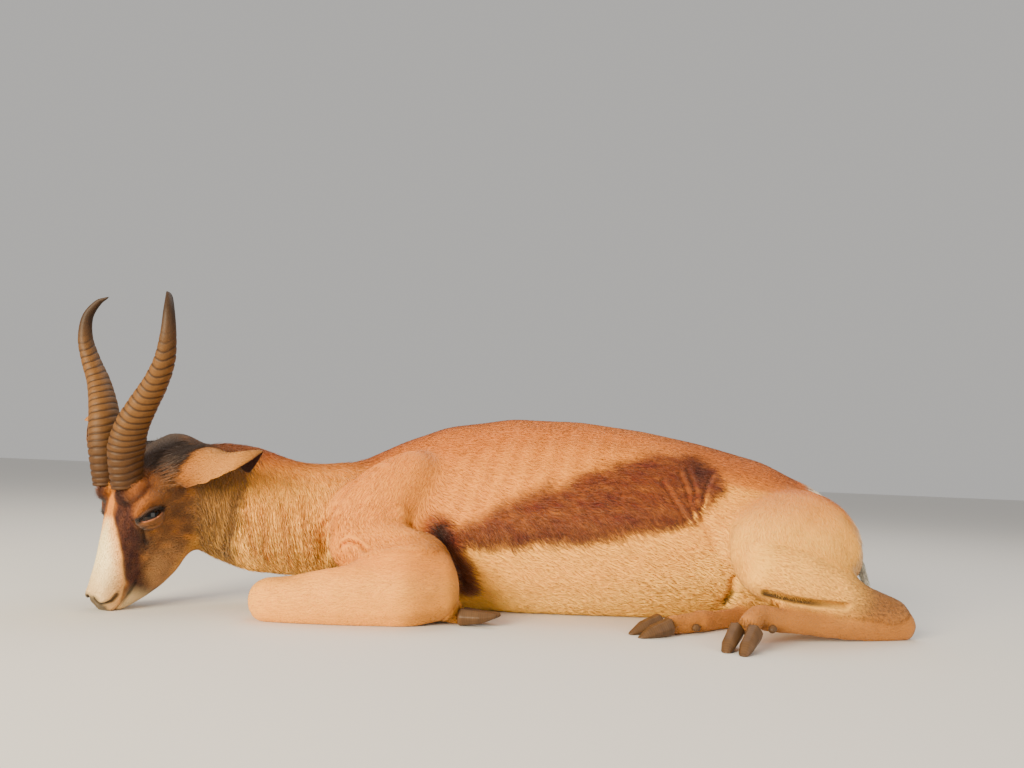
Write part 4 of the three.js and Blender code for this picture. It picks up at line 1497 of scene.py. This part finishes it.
def hair_of_body():
    """The longer hair of trunk, legs and neck, with the white fan along the back."""
    points = surface.points
    x, angle = points[:, 0], np.abs(trunk_angle(points))
    on_trunk = within(surface.region, "trunk", "thigh", "arm")
    in_band = on_trunk * band_share(points)
    fan = bell(angle, 3 + 8 * ramp(0.2, 0.46, x)) * ramp(FAN_FROM, FAN_FROM + 0.1, x)
    rump = ramp(1.3, 1.0, rump_distance(points)) * ramp(*RUMP_FROM, x)
    fringe = bell(angle - read_off(BAND_FOOT, x) + 6, 5)
    armpit = ramp(22, 6, near_line(points, ARMPIT) / MM)
    partings = sum(bell(near_line(points, line) / MM, 7) for line in [*NECK_PARTINGS, CHEEK_STEP])
    on_neck = within(surface.region, "neck") * (0.15 + partings)
    long_hair("band_fringe", fringe * in_band, turn=np.array([0, 0, -0.5]))
    long_hair("band_hair", in_band)
    long_hair("back_fan", on_trunk * fan, swirl=6)
    long_hair("rump_hair", rump)
    long_hair("belly_hair", on_trunk * ramp(142, 164, angle))
    long_hair("coronet_hair", at_coronets())
    long_hair("armpit_hair", armpit)
    long_hair("neck_hair", on_neck)


def hair_of_ears_and_tail():
    """The tufts at the ears' roots and the tail's long hair."""
    for ear in EARS:
        root, along, _, _ = ear_axes(ear)
        at_root = ring_round(root, 17, 9) * (surface.ear < 0)
        long_hair("root_hair", at_root, ear, turn=along * 3)
    on_tail = within(surface.region, "tail") * (0.3 + ramp(0.50, 0.54, surface.points[:, 0]))
    long_hair("tail_hair", on_tail, slot="tail_hair")


def hair_of_head():
    """The upper lashes and the hair that stands up round the horns' feet."""
    dark_hair = coloured_look("dark_hair", 0.5, 900, 0.1 * MM, FUR_SHEEN)
    for word, side in SIDES.items():
        out, _, over = eye_axes(side)
        _, v, outside = eye_place(surface.points, side)
        at_lid = (v > 0) * bell(outside - 1.0, 0.8)
        lash_way = unit((7 * out + over) @ HEAD_AXES)
        long_hair("lashes", at_lid, word, look=dark_hair, turn=lash_way * 6)
        at_horn = ring_round(head_world(HORN_COLLAR, side), 20, 4) * within(surface.region, "head")
        long_hair("horn_foot_hair", at_horn, word, turn=HEAD_AXES[1] * 3)


hair_of_body()
hair_of_ears_and_tail()
hair_of_head()


# Horns: ringed below, smooth and hooked at the tips. Places and sizes in the head frame, in mm.

HORN_LINE = [
    (10, 2, 23), (-28, 22, 24), (-57, 33, 32), (-85, 40, 49), (-111, 47, 69),
    (-137, 59, 90), (-163, 73, 101), (-190, 83, 99), (-210, 84, 86), (-217, 82, 74),
]
HORN_BASE_RADIUS = 24
HORN_SECTION = (0.92, 1.06)
HORN_TAPER = 0.94
HORN_FOOT_LOSS = 0.27  # share of its radius that the horn lacks at its foot
HORN_FOOT_REACH = 0.14  # share of its length
HORN_RINGS = 24
HORN_RINGED_SHARE = 0.72
HORN_RING_FADE = 0.14
HORN_RING_CROWDING = 0.8  # below 1, the rings stand closer towards the tip's end of the ringed stretch
HORN_RING_RELIEF = 0.06
HORN_RING_SLANT = 0.35  # how far a ring slants and wavers round the horn, in ring spacings
HORN_RING_WAVER = 0.12
HORN_GROOVE_BOTTOM = (0.30, 0.0)  # where the groove below and the one above fade in, in ring spacings
HORN_GROOVE_TOP = (0.86, 1.0)
HORN_SIDES = 34
HORN_STEPS = 300
HORN_TIP_LENGTH = 4.5
HORN_ROOT = linear(46, 27, 11)
HORN_RIDGE = linear(100, 68, 34)
HORN_GROOVE = linear(28, 16, 8)
HORN_TIP = linear(34, 26, 21)


def through(places, t):
    """Points on a smooth curve through the places, at shares t of its way."""
    padded = np.concatenate([[2 * places[0] - places[1]], places, [2 * places[-1] - places[-2]]])
    position = t * (len(places) - 1)
    part = np.minimum(position.astype(int), len(places) - 2)
    w = (position - part)[:, None]
    a, b, c, d = (padded[part + i] for i in range(4))
    gaps = ((a, b), (b, c), (c, d))
    before, across, after = (np.linalg.norm(q - p, axis=1, keepdims=True) ** 0.5 for p, q in gaps)
    start = ((b - a) / before - (c - a) / (before + across) + (c - b) / across) * across
    end = ((c - b) / across - (d - b) / (across + after) + (d - c) / after) * across
    return b + start * w + (3 * (c - b) - 2 * start - end) * w ** 2 + (2 * (b - c) + start + end) * w ** 3


def lofted(name, rings, first, last):
    """A closed surface over rings of points in the head frame, with a point at each end."""
    count, sides = rings.shape[:2]
    points = head_world(np.concatenate([rings.reshape(-1, 3), [first, last]]))
    work = bmesh.new()
    verts = [work.verts.new(point) for point in points]
    for quad in ring_quads(count, sides):
        work.faces.new([verts[i] for i in quad])
    for side in range(sides):
        after = (side + 1) % sides
        work.faces.new([verts[after], verts[side], verts[count * sides]])
        work.faces.new([verts[(count - 1) * sides + side], verts[(count - 1) * sides + after], verts[-1]])
    bmesh.ops.recalc_face_normals(work, faces=work.faces)
    mesh = bpy.data.meshes.new(name)
    work.to_mesh(mesh)
    work.free()
    return mesh


def horn_piece(word, side):
    """A horn as rings of points round its line, with grooves between the ridges."""
    t = np.linspace(0, 1, HORN_STEPS)
    line = through(on_side(HORN_LINE, side), t)
    tangent = unit(np.gradient(line, axis=0))
    across = unit(np.cross(tangent, [0, 1, 0]))
    upward = np.cross(across, tangent)
    turn = np.linspace(0, 2 * math.pi, HORN_SIDES, endpoint=False)
    uneven = patches(np.stack([t * 0.3 + 0 * turn[:, None]] * 3, -1).reshape(-1, 3), 0.02, 31 + side)
    uneven = uneven.reshape(len(turn), len(t)).T
    t = t[:, None]
    fade = ramp(HORN_RINGED_SHARE, HORN_RINGED_SHARE - HORN_RING_FADE, t)
    slant = HORN_RING_SLANT * np.sin(turn) + HORN_RING_WAVER * np.sin(3 * turn)
    rise = ((t / HORN_RINGED_SHARE) ** HORN_RING_CROWDING * HORN_RINGS + slant) % 1
    groove = ramp(*HORN_GROOVE_BOTTOM, rise) + ramp(*HORN_GROOVE_TOP, rise)
    ring = (0.35 - groove + 0.25 * rise) * fade
    foot = 1 - HORN_FOOT_LOSS * np.clip(1 - t / HORN_FOOT_REACH, 0, 1)
    taper = HORN_BASE_RADIUS * foot * (1 - HORN_TAPER * t)
    radius = (taper * (1 + HORN_RING_RELIEF * ring * (1 + 0.3 * uneven) - 0.02))[..., None]
    aside, above = HORN_SECTION[0] * np.cos(turn)[:, None], HORN_SECTION[1] * np.sin(turn)[:, None]
    points = line[:, None] + radius * (across[:, None] * aside + upward[:, None] * above)
    name = f"{word}_horn_surface"
    mesh = lofted(name, points, line[0], line[-1] + tangent[-1] * HORN_TIP_LENGTH)
    colour = painted(
        HORN_RIDGE,
        (HORN_GROOVE, groove * fade * 0.85),
        (HORN_TIP, ramp(0.5, 0.8, t) * 0.85),
        (HORN_ROOT, ramp(0.34, 0.0, t) * 0.7),
    ).reshape(-1, 3)
    streaks = 1 + 0.12 * patches(head_world(points.reshape(-1, 3)), 0.01, 41)
    colour = np.concatenate([colour * streaks[:, None], colour[:1], colour[-1:]])
    add_piece(name, mesh, np.clip(colour, 0, 1), horn_look, "horn", f"{word}_horn")


horn_look = coloured_look("horn", 0.55, 500, 0.5 * MM, {})
for word, side in SIDES.items():
    horn_piece(word, side)


# Eyes: dark glossy balls with a level pupil

EYE_RINGS = 44
EYE_SIDES = 60
EYE_GAP = 0.1
PUPIL_SIZE = (7.2, 3.4)  # half length along the slit and half height
IRIS = linear(40, 24, 14)
IRIS_RIM = linear(20, 12, 8)
PUPIL = linear(6, 5, 6)
EYE_WHITE = linear(84, 54, 42)


def eye_piece(word, side):
    """An eyeball whose poles lie along its look."""
    out, slit, over = eye_axes(side)
    polar = np.linspace(0.02, math.pi - 0.02, EYE_RINGS)[:, None]
    turn = np.linspace(0, 2 * math.pi, EYE_SIDES, endpoint=False)[None, :]
    radius = EYE_RADIUS - EYE_GAP
    u = np.sin(polar) * np.cos(turn) * radius
    v = np.sin(polar) * np.sin(turn) * radius
    w = np.cos(polar) * radius + 0 * turn
    centre = on_side(EYE_AT, side)
    points = centre + u[..., None] * slit + v[..., None] * over + w[..., None] * out
    name = f"{word}_eyeball"
    mesh = lofted(name, points, centre + out * radius, centre - out * radius)
    reach = np.hypot(u, v).ravel()
    from_pupil = np.hypot(u / PUPIL_SIZE[0], v / PUPIL_SIZE[1]).ravel()
    colour = painted(
        IRIS,
        (IRIS_RIM, ramp(8.0, 10.4, reach)),
        (EYE_WHITE, ramp(11.2, 12.6, reach) * 0.8),
        (PUPIL, ramp(1.1, 0.95, from_pupil) * (w.ravel() > 0)),
    )
    add_piece(name, mesh, np.concatenate([colour, [PUPIL], [IRIS_RIM]]), eye_look, "eye", f"{word}_eye")


eye_look = coloured_look("eye", 0.06, 900, 0.02 * MM, WET_SHINE)
for word, side in SIDES.items():
    eye_piece(word, side)


# Hooves: the solids' claws, rounded and with growth lines

CLAW_VOXEL = 1.1 * MM
CLAW_SMOOTHING_ROUNDS = 8
GROWTH_LINE_SPACING = 0.0028
HOOF = linear(96, 70, 46)
HOOF_DARK = linear(66, 48, 32)


def claw_piece(node):
    """A claw or dewclaw, with growth lines across its length."""
    name = node + "_surface"
    mesh = voxel_mesh(*welded(node), CLAW_VOXEL)
    mesh.name = name
    points = smooth(points_of(mesh), edges_of(mesh), CLAW_SMOOTHING_ROUNDS, 0.5)
    points[:, 2] = np.maximum(points[:, 2], FLOOR_GAP)
    put_points(mesh, points)
    offset = points - points.mean(0)
    length_way = np.linalg.svd(offset, full_matrices=False)[2][0]
    along = offset @ length_way / GROWTH_LINE_SPACING
    line = np.sin(along * 2 * math.pi + patches(points, 0.02, 51))
    dark_share = 0.5 + 0.25 * line + 0.2 * patches(points, 0.012, 52)
    add_piece(name, mesh, painted(HOOF, (HOOF_DARK, dark_share)), claw_look, "claw", node)


claw_look = coloured_look("claw", 0.45, 800, 0.2 * MM, {})
for node in sorted(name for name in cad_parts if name.endswith("claw")):
    claw_piece(node)


# Floor and light

def plain_material(name, colour, roughness):
    material = bpy.data.materials.new(name)
    material.use_nodes = True
    shader = material.node_tree.nodes["Principled BSDF"]
    set_inputs(shader, {"Base Color": (*colour, 1), "Roughness": roughness})
    return material


def add_light(name, place, target, size, power, colour):
    data = bpy.data.lights.new(name, "AREA")
    data.size = size
    data.energy = power
    data.color = colour
    light = bpy.data.objects.new(name, data)
    light.location = place
    light.rotation_euler = (Vector(target) - Vector(place)).to_track_quat("-Z", "Y").to_euler()
    bpy.context.scene.collection.objects.link(light)


def make_stage():
    """The floor, three soft lights and a plain sky."""
    half = 20
    corners = np.array([[-half, -half, 0], [half, -half, 0], [half, half, 0], [-half, half, 0]], float)
    floor = add_object("floor", new_mesh("floor", corners, np.array([[0, 1, 2, 3]])))
    floor.data.materials.append(plain_material("pale_floor", (0.72, 0.70, 0.67), 0.8))
    centre = (0, 0, 0.1)
    add_light("key", (-1.7, -2.4, 0.9), centre, 1.4, 230, (1.0, 0.85, 0.60))
    add_light("fill", (2.2, -1.8, 1.0), centre, 2.0, 34, (1.0, 0.93, 0.84))
    add_light("top", (0.2, 0.8, 2.4), centre, 2.2, 34, (1.0, 0.97, 0.92))
    world = bpy.data.worlds.new("world")
    world.use_nodes = True
    set_inputs(world.node_tree.nodes["Background"], {"Color": (0.95, 0.93, 0.90, 1), "Strength": 0.55})
    bpy.context.scene.world = world


make_stage()
